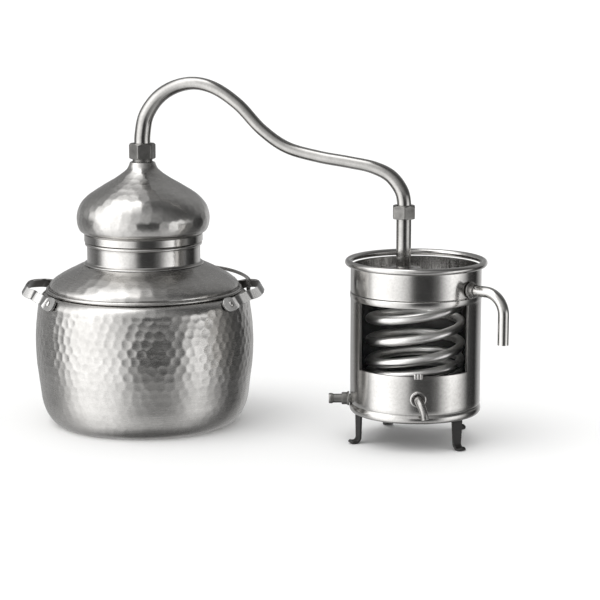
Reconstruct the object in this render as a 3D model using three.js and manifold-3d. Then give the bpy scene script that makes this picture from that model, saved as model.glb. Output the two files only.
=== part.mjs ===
// Alembic still: a hammered pot with riveted strap handles, a domed cover with a collar, an onion head,
// a swan neck held by two union nuts, and a condenser tub with a coil, standing on four strap legs.
// Millimetres, +Z up. The origin is the centre of the pot's flat bottom, +X runs from pot to condenser.
import * as THREE from 'three';
import { mergeVertices } from 'three/addons/utils/BufferGeometryUtils.js';
import Module from 'manifold-3d';

const wasm = await Module();
wasm.setup();

const GAP = 0.3;                 // clearance left between pieces that touch
const SHEET = 1.5;               // sheet metal of the pot, cover and head
const ROUND = 28;                // facets of the large round pieces
const SMALL_ROUND = 12;          // facets of the small round pieces

// Pot
const POT_BASE_RADIUS = 85.5;
const POT_CORNER_WIDTH = 20.8;
const POT_CORNER_HEIGHT = 41;
const POT_BELLY_RADIUS = 110.5;
const POT_BELLY_HEIGHT = 79;
const POT_SHOULDER_RADIUS = 107.2;
const POT_SHOULDER_BOTTOM = 122;
const POT_RIM_RADIUS = 97;
const POT_RIM_HEIGHT = 134;
const POT_MOUTH_RADIUS = 93;

// Handles: two tabs riveted to the pot's shoulder and a strap bowed out between them. Half of the bow is
// given in plan from the pot axis, outward and sideways, and its height rises with the outward distance.
const HANDLE_DIRECTIONS = { right: 17, left: 197 };
const HANDLE_REACHES = { right: 119, left: 120.5 };
const TAB_ANGLE = 33;
const TAB_HEIGHT = 129.6;
const TAB_RADIUS = 106.8;
const TAB_BACK = 9;              // tab beyond its rivet
const TAB_FRONT = 7.5;           // tab from its rivet to the bend
const HANDLE_BOW = [[97.3, 47.5], [103.5, 43.4], [107.3, 37]];    // two bulging lobes, a crease between
const HANDLE_END = [[4.5, 28], [1.7, 17], [0.4, 8]];      // short of the reach, and sideways
const HANDLE_RISE = [[90, TAB_HEIGHT], [95, 131], [100, 133.2], [107.5, 135.3], [121, 137.5]];
const HANDLE_LEAN = 30;          // the strap's outer face looks this far upward
const STRAP_WIDTH = 10;
const STRAP_THICKNESS = 2;
const RIVET_HEAD_RADIUS = 3.1;
const RIVET_SHANK_RADIUS = 1.4;
const RIVET_HOLE_RADIUS = 1.8;
const RIVET_HEAD_HEIGHT = 1.9;
const RIVET_CLENCH = [-5.5, -4.1];        // clench head inside the pot, from the middle of the strap
const REAR_RIVET_CLENCH = [-7.3, -5.9];

// Rear strap
const REAR_STRAP_START = 29;
const REAR_STRAP_END = 117;
const REAR_STRAP_RADIUS = 108.5;
const REAR_STRAP_TOP = 142.3;
const REAR_STRAP_HEIGHT = 3.1;
const REAR_STRAP_ARCH = 3.6;     // rise of its middle over its ends
const REAR_TAB_SPAN = 5;
const REAR_TAB_BOTTOM = 122.5;
const REAR_RIVET_HEIGHT = 126;

// Cover and collar
const COVER_BEAD_RADIUS = 97.4;
const COVER_BEAD_HEIGHT = 136.2;
const COVER_BEAD_THICKNESS = 1.7;
const COVER_LIP_BOTTOM = 127;
const COVER_LIP_INNER_RADIUS = 91.2;
const COVER_LIP_RADIUS = 92.6;
const DOME_EDGE = [96.3, 137.7];
const DOME_FULLEST = [99, 145.8];         // corner that the dome's curve leans towards
const COVER_SEAT_RADIUS = 61.5;
const COVER_SEAT_HEIGHT = 162.2;
const COVER_HOLE_RADIUS = 54;
const COLLAR_RADIUS = 57;
const COLLAR_SHEET = 1.7;
const COLLAR_FOOT_WIDTH = 2.8;
const COLLAR_BEAD_HEIGHT = 182.8;
const COLLAR_BEAD_THICKNESS = 1.8;

// Head
const SKIRT_BOTTOM = 185.3;
const SKIRT_TOP = 192.6;
const SKIRT_RADIUS = 59.6;
const SPIGOT_RADIUS = 54.8;
const SPIGOT_BOTTOM = 168;
const HEAD_TOP_RADIUS = 12.6;
const HEAD_TOP_HEIGHT = 264.5;
const HEAD_BOTTOM_RADIUS = 59.3;
const HEAD_SHAPE = [                      // radius and height between the skirt and the stub
  [64.2, 197], [66.8, 208], [64.2, 220], [56.6, 230], [42, 240], [24.6, 250.5], [15.2, 258.5],
];

// Head union
const HEAD_STUB_RADIUS = 10;
const HEAD_STUB_BOTTOM = 258;
const HEAD_STUB_TOP = 274;
const HEAD_STUB_WALL = 3;
const HEAD_NUT_BOTTOM = 267.9;
const HEAD_NUT_TOP = 283.2;
const HEAD_NUT_CORNER_RADIUS = 13.75;
const HEAD_NUT_CORNER_ANGLE = -28;
const HEAD_NUT_THREAD_RADIUS = 10.4;
const HEAD_NUT_HOLE_RADIUS = 8.75;
const HEAD_FERRULE_RADII = [8.5, 9.9];
const HEAD_FERRULE_THICKNESS = 2;
const FERRULE_GAP = 0.4;         // between a ferrule and the shoulder of its nut

// Condenser
const AXIS_DISTANCE = 283.2;     // pot axis to tub axis
const TUB_RADIUS = 63.5;
const TUB_SHEET = 1.3;
const TUB_BOTTOM_EDGE = 28.9;
const TUB_HEM_TOP = 37.6;
const TUB_HEM_RADIUS = 64;
const TUB_HEM_INNER_RADIUS = 60.2;
const TUB_SWELL = 0.5;           // bead under the groove, beyond the wall
const TUB_GROOVE_HEIGHT = 147.3;
const TUB_BAND_TOP = 172.5;
const RIM_BEAD_RADIUS = 65.8;
const RIM_BEAD_HEIGHT = 176.1;
const RIM_BEAD_THICKNESS = 3.2;
const TUB_FLOOR_HEIGHT = 32.2;
const WINDOW_START = -134;
const WINDOW_END = -24;
const WINDOW_BOTTOM = 75.4;
const WINDOW_TOP = 141;
const GLASS_MARGIN_ANGLE = 4.5;
const GLASS_MARGIN_HEIGHT = 5;
const GLASS_RADII = [58.8, 60.6];
const SEAL_RADII = [60.95, 61.85];
const CLIP_HALF_ANGLE = 3.6;

// Plumbing of the tub, angles from +X
const SPOUT_ANGLE = -73.5;
const SPOUT_HEIGHT = 53.9;
const SPOUT_SWAY = 4.2;          // degrees that its end stands aside
const SPOUT_DROP = [[57.1, 0], [64, 0], [70.5, 0.9], [76, 4.4], [79.6, 9.9], [81, 16.1]];
const SPOUT_PIPE_RADIUS = 4.6;
const SPOUT_BORE_RADIUS = 3.5;
const SPOUT_END_SCALE = 0.75;
const STUB_ANGLE = -163;
const STUB_HEIGHT = 40.6;
const STUB_RADIUS = 4.4;
const STUB_BORE_RADIUS = 3.3;
const STUB_INNER_END = 57;       // from the tub axis
const STUB_OUTER_END = 84.4;
const STUB_BARB_RADIUS = 5.1;
const OVERFLOW_ANGLE = -23;
const OVERFLOW_HEIGHT = 155.5;
const OVERFLOW_REACH = 103;
const OVERFLOW_BEND_RADIUS = 20;
const OVERFLOW_END_HEIGHT = 107;
const OVERFLOW_RADIUS = 5.25;
const OVERFLOW_BORE_RADIUS = 4.1;
const OVERFLOW_INNER_END = 58;   // from the tub axis
const INLET_OFFSET = 12.7;       // inlet pipe from the tub axis, towards the pot
const INLET_RADIUS = 7.25;
const INLET_BOTTOM = 158;
const INLET_TOP = 225.9;
const INLET_WALL = 1.15;
const INLET_SHOULDER_RADIUS = 8.5;
const INLET_SHOULDER_HEIGHT = 219.5;
const COIL_NUT_BOTTOM = 217.8;
const COIL_NUT_TOP = 230.8;
const COIL_NUT_CORNER_RADIUS = 12;
const COIL_NUT_CORNER_ANGLE = -13;
const COIL_NUT_THREAD_RADIUS = 8.95;
const COIL_NUT_HOLE_RADIUS = 7.5;
const COIL_FERRULE_RADII = [7.25, 8.6];
const COIL_FERRULE_THICKNESS = 1.9;
const INLET_DISC_RADIUS = 16.9;
const INLET_DISC_HEIGHTS = [169.2, 170.4];
const REDUCER_RADII = [5.1, 5.8];
const REDUCER_TOP = 163;

// What clamps each pipe in the tub wall: a flanged sleeve outside and a lock nut inside, both with the same
// hole. The ends and starts are distances from the tub axis.
const FITTINGS = {
  spout: {
    angle: SPOUT_ANGLE, height: SPOUT_HEIGHT, holeRadius: 4.95,
    flangeRadius: 7.7, sleeveRadius: 6.2, sleeveEnd: 66.6,
    nutCornerRadius: 7.4, nutStart: 57.6, nutEnd: 61,
  },
  overflow: {
    angle: OVERFLOW_ANGLE, height: OVERFLOW_HEIGHT, holeRadius: 5.6,
    flangeRadius: 7.9, sleeveRadius: 6.6, sleeveEnd: 70.6,
    nutCornerRadius: 8, nutStart: 58.2, nutEnd: 61.2,
  },
  water: {
    angle: STUB_ANGLE, height: STUB_HEIGHT, holeRadius: 4.75,
    flangeRadius: 7, sleeveRadius: 6, sleeveEnd: 71.8,
    nutCornerRadius: 6.7, nutStart: 57.6, nutEnd: 61,
  },
};

// Coil: a right-handed helix, slightly tilted, whose height is given where it crosses the tilt axis
const COIL_RADIUS = 44.5;
const COIL_TUBE_RADIUS = 4.5;
const COIL_BORE_RADIUS = 3.5;
const COIL_PITCH = 20.9;
const COIL_LOW_PITCH = 11;        // of the turns below COIL_LOW_START
const COIL_LOW_START = -163;
const COIL_MIDDLE_HEIGHT = 92.5;
const COIL_TILT = 3.5;
const COIL_TILT_DIRECTION = 17;

// Legs
const LEG_RADIUS = 58.3;
const LEG_WIDTH = 11;
const LEG_THICKNESS = 3;
const LEG_CURL_RADIUS = 5.2;
const LEG_ANGLES = [-145, -32, 57, 129];
const LEG_CURL_FACETS = 5;
const LEG_RIVET_RADIUS = 50;

const finishes = {
  hammered: { color: 0x9a9793, roughness: 0.34, metalness: 1 },
  polished: { color: 0xa9a6a2, roughness: 0.22, metalness: 1 },
  nut: { color: 0x5f5d5a, roughness: 0.55, metalness: 1 },
  iron: { color: 0x24221f, roughness: 0.6, metalness: 0.6 },
  glass: { color: 0xdfe6e6, roughness: 0.05, metalness: 0 },
  rubber: { color: 0x55524e, roughness: 0.8, metalness: 0 },
};

const radians = (degrees) => degrees * Math.PI / 180;

// ---- solids ----

function geometryFrom(positions, indices) {
  const geometry = new THREE.BufferGeometry();
  geometry.setAttribute('position', new THREE.Float32BufferAttribute(positions, 3));
  geometry.setIndex(indices);
  return geometry;
}

// Merge shared corners, drop triangles without area, and turn the faces outward.
function welded(source) {
  source.deleteAttribute('normal');
  source.deleteAttribute('uv');
  const geometry = mergeVertices(source, 1e-4);
  const at = geometry.getAttribute('position');
  const index = geometry.getIndex().array;
  const corners = [new THREE.Vector3(), new THREE.Vector3(), new THREE.Vector3()];
  const kept = [];
  let volume = 0;
  for (let i = 0; i < index.length; i += 3) {
    const [a, b, c] = [index[i], index[i + 1], index[i + 2]];
    if (a !== b && b !== c && c !== a) {
      kept.push(a, b, c);
      [a, b, c].forEach((vertex, k) => corners[k].fromBufferAttribute(at, vertex));
      volume += corners[0].dot(corners[1].clone().cross(corners[2]));
    }
  }
  if (volume < 0) {
    kept.reverse();
  }
  geometry.setIndex(kept);
  return geometry;
}

// Revolve [radius, height] points about Z. Ends off the axis close on each other.
function revolve(profile, facets = ROUND) {
  const points = profile.map(([radius, height]) => new THREE.Vector2(radius, height));
  if (profile[0][0] > 0) {
    points.push(points[0].clone());
  }
  const geometry = new THREE.LatheGeometry(points, facets);
  geometry.rotateX(Math.PI / 2);
  return welded(geometry);
}

function polygon(radius, facets) {
  return Array.from({ length: facets }, (_, k) => {
    const angle = 2 * Math.PI * k / facets;
    return new THREE.Vector2(radius * Math.cos(angle), radius * Math.sin(angle));
  });
}

// Pipe along a curve, with taper(share of its length) scaling the section.
function pipe(curve, steps, radius, boreRadius, facets, taper = () => 1) {
  const section = new THREE.Shape(polygon(radius, facets));
  section.holes.push(new THREE.Path(polygon(boreRadius, facets)));
  const geometry = new THREE.ExtrudeGeometry(section, { steps, extrudePath: curve });
  const middles = curve.getSpacedPoints(steps);
  const at = geometry.getAttribute('position');
  const corner = new THREE.Vector3();
  for (let i = 0; i < at.count; i += 1) {
    corner.fromBufferAttribute(at, i);
    const distances = middles.map((middle) => middle.distanceTo(corner));
    const nearest = distances.indexOf(Math.min(...distances));
    corner.sub(middles[nearest]).multiplyScalar(taper(nearest / steps)).add(middles[nearest]);
    at.setXYZ(i, corner.x, corner.y, corner.z);
  }
  return welded(geometry);
}

// Outline in the XY plane raised from one height to another.
function prism(outline, bottom, top) {
  const shape = new THREE.Shape(outline.map(([x, y]) => new THREE.Vector2(x, y)));
  const geometry = new THREE.ExtrudeGeometry(shape, { depth: top - bottom, bevelEnabled: false });
  geometry.translate(0, 0, bottom);
  return welded(geometry);
}

// Curved plate between two radii, two angles and two heights.
function curvedPlate(innerRadius, outerRadius, start, end, bottom, top, facets) {
  const turn = (radius, k) => {
    const angle = radians(start + (end - start) * k / facets);
    return [radius * Math.cos(angle), radius * Math.sin(angle)];
  };
  const steps = Array.from({ length: facets + 1 }, (_, k) => k);
  const outline = [
    ...steps.map((k) => turn(outerRadius, k)),
    ...steps.reverse().map((k) => turn(innerRadius, k)),
  ];
  return prism(outline, bottom, top);
}

function toManifold(geometry) {
  const plain = welded(geometry.clone());
  return new wasm.Manifold(new wasm.Mesh({
    numProp: 3,
    vertProperties: new Float32Array(plain.getAttribute('position').array),
    triVerts: new Uint32Array(plain.getIndex().array),
  }));
}

function fromManifold(solid) {
  const mesh = solid.getMesh();
  return geometryFrom(Array.from(mesh.vertProperties), Array.from(mesh.triVerts));
}

function cut(geometry, ...tools) {
  return fromManifold(tools.reduce((rest, tool) => rest.subtract(toManifold(tool)), toManifold(geometry)));
}

function join(geometry, ...others) {
  return fromManifold(others.reduce((whole, other) => whole.add(toManifold(other)), toManifold(geometry)));
}

function common(geometry, other) {
  return fromManifold(toManifold(geometry).intersect(toManifold(other)));
}

// ---- outlines ----

function ellipseArc(centreX, centreY, radiusX, radiusY, start, end, steps) {
  return Array.from({ length: steps + 1 }, (_, k) => {
    const angle = radians(start + (end - start) * k / steps);
    return [centreX + radiusX * Math.cos(angle), centreY + radiusY * Math.sin(angle)];
  });
}

function smooth(knots, steps) {
  const curve = new THREE.SplineCurve(knots.map(([x, y]) => new THREE.Vector2(x, y)));
  return curve.getSpacedPoints(steps).map((point) => [point.x, point.y]);
}

// Points of an open outline moved sideways; positive is to the left of its direction.
function shifted(outline, distance) {
  return outline.map(([x, y], i) => {
    const [beforeX, beforeY] = outline[Math.max(i - 1, 0)];
    const [afterX, afterY] = outline[Math.min(i + 1, outline.length - 1)];
    const length = Math.hypot(afterX - beforeX, afterY - beforeY);
    return [x - distance * (afterY - beforeY) / length, y + distance * (afterX - beforeX) / length];
  });
}

// ---- placing ----

// Lay a solid made about +Z so that +Z points outward at an angle in the XY plane, and upward by a lean.
function laidRadially(geometry, angle, height, radius = 0, lean = 0) {
  geometry.rotateY(Math.PI / 2 - radians(lean));
  geometry.translate(radius, 0, height);
  geometry.rotateZ(radians(angle));
  return geometry;
}

function atTub(geometry) {
  return geometry.translate(AXIS_DISTANCE, 0, 0);
}

function radialPoint(angle, distance, height) {
  const turn = radians(angle);
  return new THREE.Vector3(distance * Math.cos(turn), distance * Math.sin(turn), height);
}

function bar(radius, start, end, facets = 10) {
  return revolve([[0, start], [radius, start], [radius, end], [0, end]], facets);
}

function ring(innerRadius, outerRadius, start, end, facets = SMALL_ROUND) {
  const corners = [[innerRadius, start], [outerRadius, start], [outerRadius, end], [innerRadius, end]];
  return revolve(corners, facets);
}

// Round-headed rivet about +Z: clench head below, shank, domed head above.
function rivet(clenchStart, clenchEnd, seat) {
  return revolve([
    [0, clenchStart], [RIVET_HEAD_RADIUS - 0.5, clenchStart], [RIVET_HEAD_RADIUS - 0.5, clenchEnd],
    [RIVET_SHANK_RADIUS, clenchEnd], [RIVET_SHANK_RADIUS, seat], [RIVET_HEAD_RADIUS, seat],
    [RIVET_HEAD_RADIUS * 0.8, seat + 1.2], [0, seat + RIVET_HEAD_HEIGHT],
  ], 10);
}

function hexagon(cornerRadius, cornerAngle) {
  return Array.from({ length: 6 }, (_, k) => {
    const angle = radians(cornerAngle + 60 * k);
    return [cornerRadius * Math.cos(angle), cornerRadius * Math.sin(angle)];
  });
}

function unionNut(cornerRadius, cornerAngle, bottom, top, threadRadius, shoulderHeight, holeRadius) {
  const outline = hexagon(cornerRadius, cornerAngle);
  const chamfer = revolve([
    [0, bottom], [cornerRadius + 1, bottom], [cornerRadius + 1, top - 2], [cornerRadius - 2, top], [0, top],
  ], 18);
  const bore = revolve([
    [0, bottom - 1], [threadRadius, bottom - 1], [threadRadius, shoulderHeight],
    [holeRadius, shoulderHeight], [holeRadius, top + 1], [0, top + 1],
  ], SMALL_ROUND);
  return cut(common(prism(outline, bottom, top), chamfer), bore);
}

// ---- pot ----

function potWall(inset) {
  return [
    ...ellipseArc(POT_BASE_RADIUS, POT_CORNER_HEIGHT, POT_CORNER_WIDTH - inset, POT_CORNER_HEIGHT - inset,
      -90, 0, 5),
    [POT_BELLY_RADIUS - inset, POT_BELLY_HEIGHT],
    ...ellipseArc(POT_RIM_RADIUS, POT_SHOULDER_BOTTOM, POT_SHOULDER_RADIUS - POT_RIM_RADIUS - inset,
      POT_RIM_HEIGHT - POT_SHOULDER_BOTTOM - inset, 0, 90, 4),
  ];
}

const tabRivets = Object.entries(HANDLE_DIRECTIONS).flatMap(([side, direction]) => {
  const toFront = side === 'right' ? -TAB_ANGLE : TAB_ANGLE;
  return [['front', toFront], ['rear', -toFront]].map(([end, offset]) => ({
    name: `${side}_${end}`,
    angle: direction + offset,
    height: TAB_HEIGHT,
    radius: TAB_RADIUS,
    lean: HANDLE_LEAN,
    clench: RIVET_CLENCH,
  }));
});
const rearRivets = [
  ['rear_a', REAR_STRAP_START + REAR_TAB_SPAN / 2],
  ['rear_b', REAR_STRAP_END - REAR_TAB_SPAN / 2],
].map(([name, angle]) => ({
  name, angle, height: REAR_RIVET_HEIGHT, radius: REAR_STRAP_RADIUS, lean: 0, clench: REAR_RIVET_CLENCH,
}));
const potRivets = [...tabRivets, ...rearRivets];

function onPot(geometry, place) {
  return laidRadially(geometry, place.angle, place.height, place.radius, place.lean);
}

function rivetHole(place) {
  return onPot(bar(RIVET_HOLE_RADIUS, -12, 8, 8), place);
}

function potShell() {
  const shell = revolve([
    [0, 0], ...potWall(0),
    [POT_MOUTH_RADIUS, POT_RIM_HEIGHT], [POT_MOUTH_RADIUS, POT_RIM_HEIGHT - SHEET],
    ...potWall(SHEET).reverse(), [0, SHEET],
  ]);
  return cut(shell, ...potRivets.map(rivetHole));
}

function handleHeight(outward) {
  if (outward <= HANDLE_RISE[0][0]) {
    return HANDLE_RISE[0][1];
  }
  const next = HANDLE_RISE.findIndex(([at]) => at >= outward);
  const [startAt, startHeight] = HANDLE_RISE[next - 1];
  const [endAt, endHeight] = HANDLE_RISE[next];
  return THREE.MathUtils.mapLinear(outward, startAt, endAt, startHeight, endHeight);
}

// Strap that follows the bow in plan, rises along it, and leans so that its outer face looks up.
function handle(side) {
  const reach = HANDLE_REACHES[side];
  const [alongX, alongY] = [Math.sin(radians(TAB_ANGLE)), -Math.cos(radians(TAB_ANGLE))];
  const tab = (distance) => [
    TAB_RADIUS * Math.cos(radians(TAB_ANGLE)) + distance * alongX,
    TAB_RADIUS * Math.sin(radians(TAB_ANGLE)) + distance * alongY,
  ];
  const half = [tab(-TAB_BACK), tab(0), tab(TAB_FRONT), ...HANDLE_BOW,
    ...HANDLE_END.map(([short, sideways]) => [reach - short, sideways])];
  const middle = [...half, ...half.slice().reverse().map(([x, y]) => [x, -y])];
  const edge = STRAP_THICKNESS / 2;
  const outlineAt = (across) => {
    const inward = across * Math.sin(radians(HANDLE_LEAN));
    return [...shifted(middle, edge - inward), ...shifted(middle, -edge - inward).reverse()];
  };
  const flat = outlineAt(0);
  const heights = middle.map(([x]) => handleHeight(x));
  const strap = prism(flat, -STRAP_WIDTH / 2, STRAP_WIDTH / 2);
  const at = strap.getAttribute('position');
  for (let i = 0; i < at.count; i += 1) {
    const distances = flat.map(([x, y]) => Math.hypot(at.getX(i) - x, at.getY(i) - y));
    const nearest = distances.indexOf(Math.min(...distances));
    const [x, y] = outlineAt(at.getZ(i))[nearest];
    const step = nearest < middle.length ? nearest : flat.length - 1 - nearest;
    at.setXYZ(i, x, y, heights[step] + at.getZ(i) * Math.cos(radians(HANDLE_LEAN)));
  }
  strap.rotateZ(radians(HANDLE_DIRECTIONS[side]));
  return cut(strap, ...tabRivets.map(rivetHole));
}

function rearStrap() {
  const inner = REAR_STRAP_RADIUS - STRAP_THICKNESS / 2;
  const outer = REAR_STRAP_RADIUS + STRAP_THICKNESS / 2;
  const band = curvedPlate(inner, outer, REAR_STRAP_START, REAR_STRAP_END,
    REAR_STRAP_TOP - REAR_STRAP_HEIGHT, REAR_STRAP_TOP, 16);
  const at = band.getAttribute('position');
  for (let i = 0; i < at.count; i += 1) {
    const angle = THREE.MathUtils.radToDeg(Math.atan2(at.getY(i), at.getX(i)));
    const share = Math.max((angle - REAR_STRAP_START) / (REAR_STRAP_END - REAR_STRAP_START), 0);
    at.setZ(i, at.getZ(i) + REAR_STRAP_ARCH * Math.max(Math.sin(Math.PI * share), 0));
  }
  const tab = (start) => curvedPlate(inner, outer, start, start + REAR_TAB_SPAN, REAR_TAB_BOTTOM,
    REAR_STRAP_TOP, 2);
  const strap = join(band, tab(REAR_STRAP_START), tab(REAR_STRAP_END - REAR_TAB_SPAN));
  return cut(strap, ...rearRivets.map(rivetHole));
}

// ---- cover, collar and head ----

// Dome from its bead to the collar's seat, moved inward by the inset.
function coverDome(inset) {
  const curve = new THREE.QuadraticBezierCurve(
    new THREE.Vector2(DOME_EDGE[0] - 2.6 * inset, DOME_EDGE[1] - 0.2 * inset),
    new THREE.Vector2(DOME_FULLEST[0] - 1.6 * inset, DOME_FULLEST[1] - 0.2 * inset),
    new THREE.Vector2(COVER_SEAT_RADIUS - 0.9 * inset, COVER_SEAT_HEIGHT - inset),
  );
  return curve.getPoints(5).map((point) => [point.x, point.y]);
}

function cover() {
  return revolve([
    [COVER_LIP_INNER_RADIUS, COVER_LIP_BOTTOM], [COVER_LIP_RADIUS, COVER_LIP_BOTTOM],
    [COVER_LIP_RADIUS, COVER_BEAD_HEIGHT - COVER_BEAD_THICKNESS],
    ...ellipseArc(COVER_BEAD_RADIUS, COVER_BEAD_HEIGHT, COVER_BEAD_THICKNESS, COVER_BEAD_THICKNESS,
      -90, 90, 5),
    ...coverDome(0),
    [COVER_HOLE_RADIUS, COVER_SEAT_HEIGHT], [COVER_HOLE_RADIUS, COVER_SEAT_HEIGHT - SHEET],
    ...coverDome(SHEET).reverse(),
    [COVER_LIP_INNER_RADIUS, DOME_EDGE[1] - 1.1],
  ]);
}

function collar() {
  const inner = COLLAR_RADIUS - COLLAR_SHEET;
  const foot = COVER_SEAT_HEIGHT + GAP;
  return revolve([
    [inner - 0.6, foot], [COLLAR_RADIUS + COLLAR_FOOT_WIDTH, foot],
    [COLLAR_RADIUS + COLLAR_FOOT_WIDTH, foot + 1.4],
    [COLLAR_RADIUS, foot + 2.2], [COLLAR_RADIUS, COLLAR_BEAD_HEIGHT - 1.5],
    ...ellipseArc(COLLAR_RADIUS + 0.2, COLLAR_BEAD_HEIGHT, COLLAR_BEAD_THICKNESS, COLLAR_BEAD_THICKNESS,
      -55, 180, 6),
    [inner, COLLAR_BEAD_HEIGHT - 2], [inner, foot + 1.7], [inner - 0.6, foot + 1.2],
  ]);
}

function headSpigot() {
  return ring(SPIGOT_RADIUS - 1.5, SPIGOT_RADIUS, SPIGOT_BOTTOM, SKIRT_TOP, ROUND);
}

function headSkirt() {
  const inner = SPIGOT_RADIUS + 0.4;
  return revolve([
    [inner, SKIRT_BOTTOM], [SKIRT_RADIUS, SKIRT_BOTTOM], [SKIRT_RADIUS, SKIRT_TOP], [inner, SKIRT_TOP],
  ]);
}

function onionHead() {
  const outer = smooth([
    [HEAD_BOTTOM_RADIUS, SKIRT_TOP + GAP], ...HEAD_SHAPE, [HEAD_TOP_RADIUS, HEAD_TOP_HEIGHT],
  ], 10);
  const inner = shifted(outer, SHEET);
  inner[0] = [outer[0][0] - SHEET, outer[0][1]];
  inner[inner.length - 1] = [HEAD_TOP_RADIUS - SHEET, HEAD_TOP_HEIGHT];
  return revolve([...outer, ...inner.reverse()]);
}

function vapourStub() {
  const flange = HEAD_TOP_HEIGHT + GAP;
  const bore = HEAD_STUB_RADIUS - HEAD_STUB_WALL;
  return revolve([
    [bore, HEAD_STUB_BOTTOM], [HEAD_STUB_RADIUS, HEAD_STUB_BOTTOM], [HEAD_STUB_RADIUS, flange],
    [HEAD_TOP_RADIUS - 0.3, flange], [HEAD_TOP_RADIUS - 0.3, flange + 1.8],
    [HEAD_STUB_RADIUS, flange + 1.8], [HEAD_STUB_RADIUS, HEAD_STUB_TOP], [bore, HEAD_STUB_TOP],
  ], SMALL_ROUND);
}

// ---- swan neck ----

const NECK_START = HEAD_STUB_TOP + 0.5;
const NECK_END = INLET_TOP + 0.3;
const COIL_UNION_X = AXIS_DISTANCE - INLET_OFFSET;

// The last stretch at each union is straight and vertical.
function neckPath() {
  const knots = [
    [0, NECK_START], [0, 284], [0.3, 291], [4.4, 310.6], [17.4, 329], [35, 340], [56, 344.2], [77, 339.7],
    [101.4, 324.3], [126, 300], [151, 283.8], [184, 275.4], [216, 270.8], [240, 266.4],
    [257, 258.5], [268, 244.5], [COIL_UNION_X, 234], [COIL_UNION_X, NECK_END],
  ];
  return new THREE.CatmullRomCurve3(knots.map(([x, z]) => new THREE.Vector3(x, 0, z)), false, 'centripetal');
}

const NECK_RADIUS = 8.2;         // at the head
const NECK_BORE_RADIUS = 6.7;

// Wide at the head, narrow past the arch, wider again at the coil.
function neckTaper(share) {
  const stops = [[0, 1], [0.07, 0.97], [0.28, 0.77], [0.5, 0.71], [0.82, 0.72], [0.92, 0.83], [1, 0.84]];
  const next = Math.max(stops.findIndex(([at]) => at >= share), 1);
  const [startShare, startScale] = stops[next - 1];
  const [endShare, endScale] = stops[next];
  return THREE.MathUtils.mapLinear(share, startShare, endShare, startScale, endScale);
}

function swanNeck() {
  return pipe(neckPath(), 30, NECK_RADIUS, NECK_BORE_RADIUS, 8, neckTaper);
}

// ---- condenser tub ----

function pipeHole(angle, height, radius) {
  return laidRadially(bar(radius, 50, 75, 12), angle, height);
}

function tubWall() {
  const inner = TUB_RADIUS - TUB_SHEET;
  const wall = revolve([
    [TUB_HEM_INNER_RADIUS, TUB_BOTTOM_EDGE], [TUB_HEM_RADIUS - 2.5, TUB_BOTTOM_EDGE],
    [TUB_HEM_RADIUS - 0.4, TUB_BOTTOM_EDGE + 2], [TUB_HEM_RADIUS, TUB_HEM_TOP - 2.5],
    [TUB_HEM_RADIUS - 1, TUB_HEM_TOP], [TUB_RADIUS, TUB_HEM_TOP + 0.9],
    [TUB_RADIUS, WINDOW_TOP], [TUB_RADIUS + TUB_SWELL, WINDOW_TOP + 1.5],
    [TUB_RADIUS + TUB_SWELL, TUB_GROOVE_HEIGHT - 0.5], [inner, TUB_GROOVE_HEIGHT - 0.2],
    [inner, TUB_BOTTOM_EDGE + 2.9],
  ], 32);
  const opening = curvedPlate(inner - 6, TUB_RADIUS + 6, WINDOW_START, WINDOW_END,
    WINDOW_BOTTOM, WINDOW_TOP, 14);
  return cut(wall, opening, pipeHole(SPOUT_ANGLE, SPOUT_HEIGHT, 5.1), pipeHole(STUB_ANGLE, STUB_HEIGHT, 4.9));
}

function tubUpperBand() {
  const band = ring(TUB_RADIUS - TUB_SHEET, TUB_RADIUS, TUB_GROOVE_HEIGHT + 0.2, TUB_BAND_TOP, 32);
  return cut(band, pipeHole(OVERFLOW_ANGLE, OVERFLOW_HEIGHT, 5.7));
}

function tubRim() {
  const bead = ellipseArc(RIM_BEAD_RADIUS, RIM_BEAD_HEIGHT, RIM_BEAD_THICKNESS, RIM_BEAD_THICKNESS,
    -90, 225, 7);
  return revolve(bead, 32);
}

function tubFloor() {
  const floor = revolve([
    [0, TUB_FLOOR_HEIGHT], [TUB_RADIUS - TUB_SHEET - 0.5, TUB_FLOOR_HEIGHT],
    [TUB_RADIUS - TUB_SHEET - 0.5, TUB_FLOOR_HEIGHT + SHEET], [0, TUB_FLOOR_HEIGHT + SHEET],
  ], 32);
  const holes = LEG_ANGLES.map((angle) => {
    const hole = bar(RIVET_HOLE_RADIUS, TUB_FLOOR_HEIGHT - 3, TUB_FLOOR_HEIGHT + 5, 8);
    const place = radialPoint(angle, LEG_RIVET_RADIUS, 0);
    return hole.translate(place.x, place.y, 0);
  });
  return cut(floor, ...holes);
}

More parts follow.
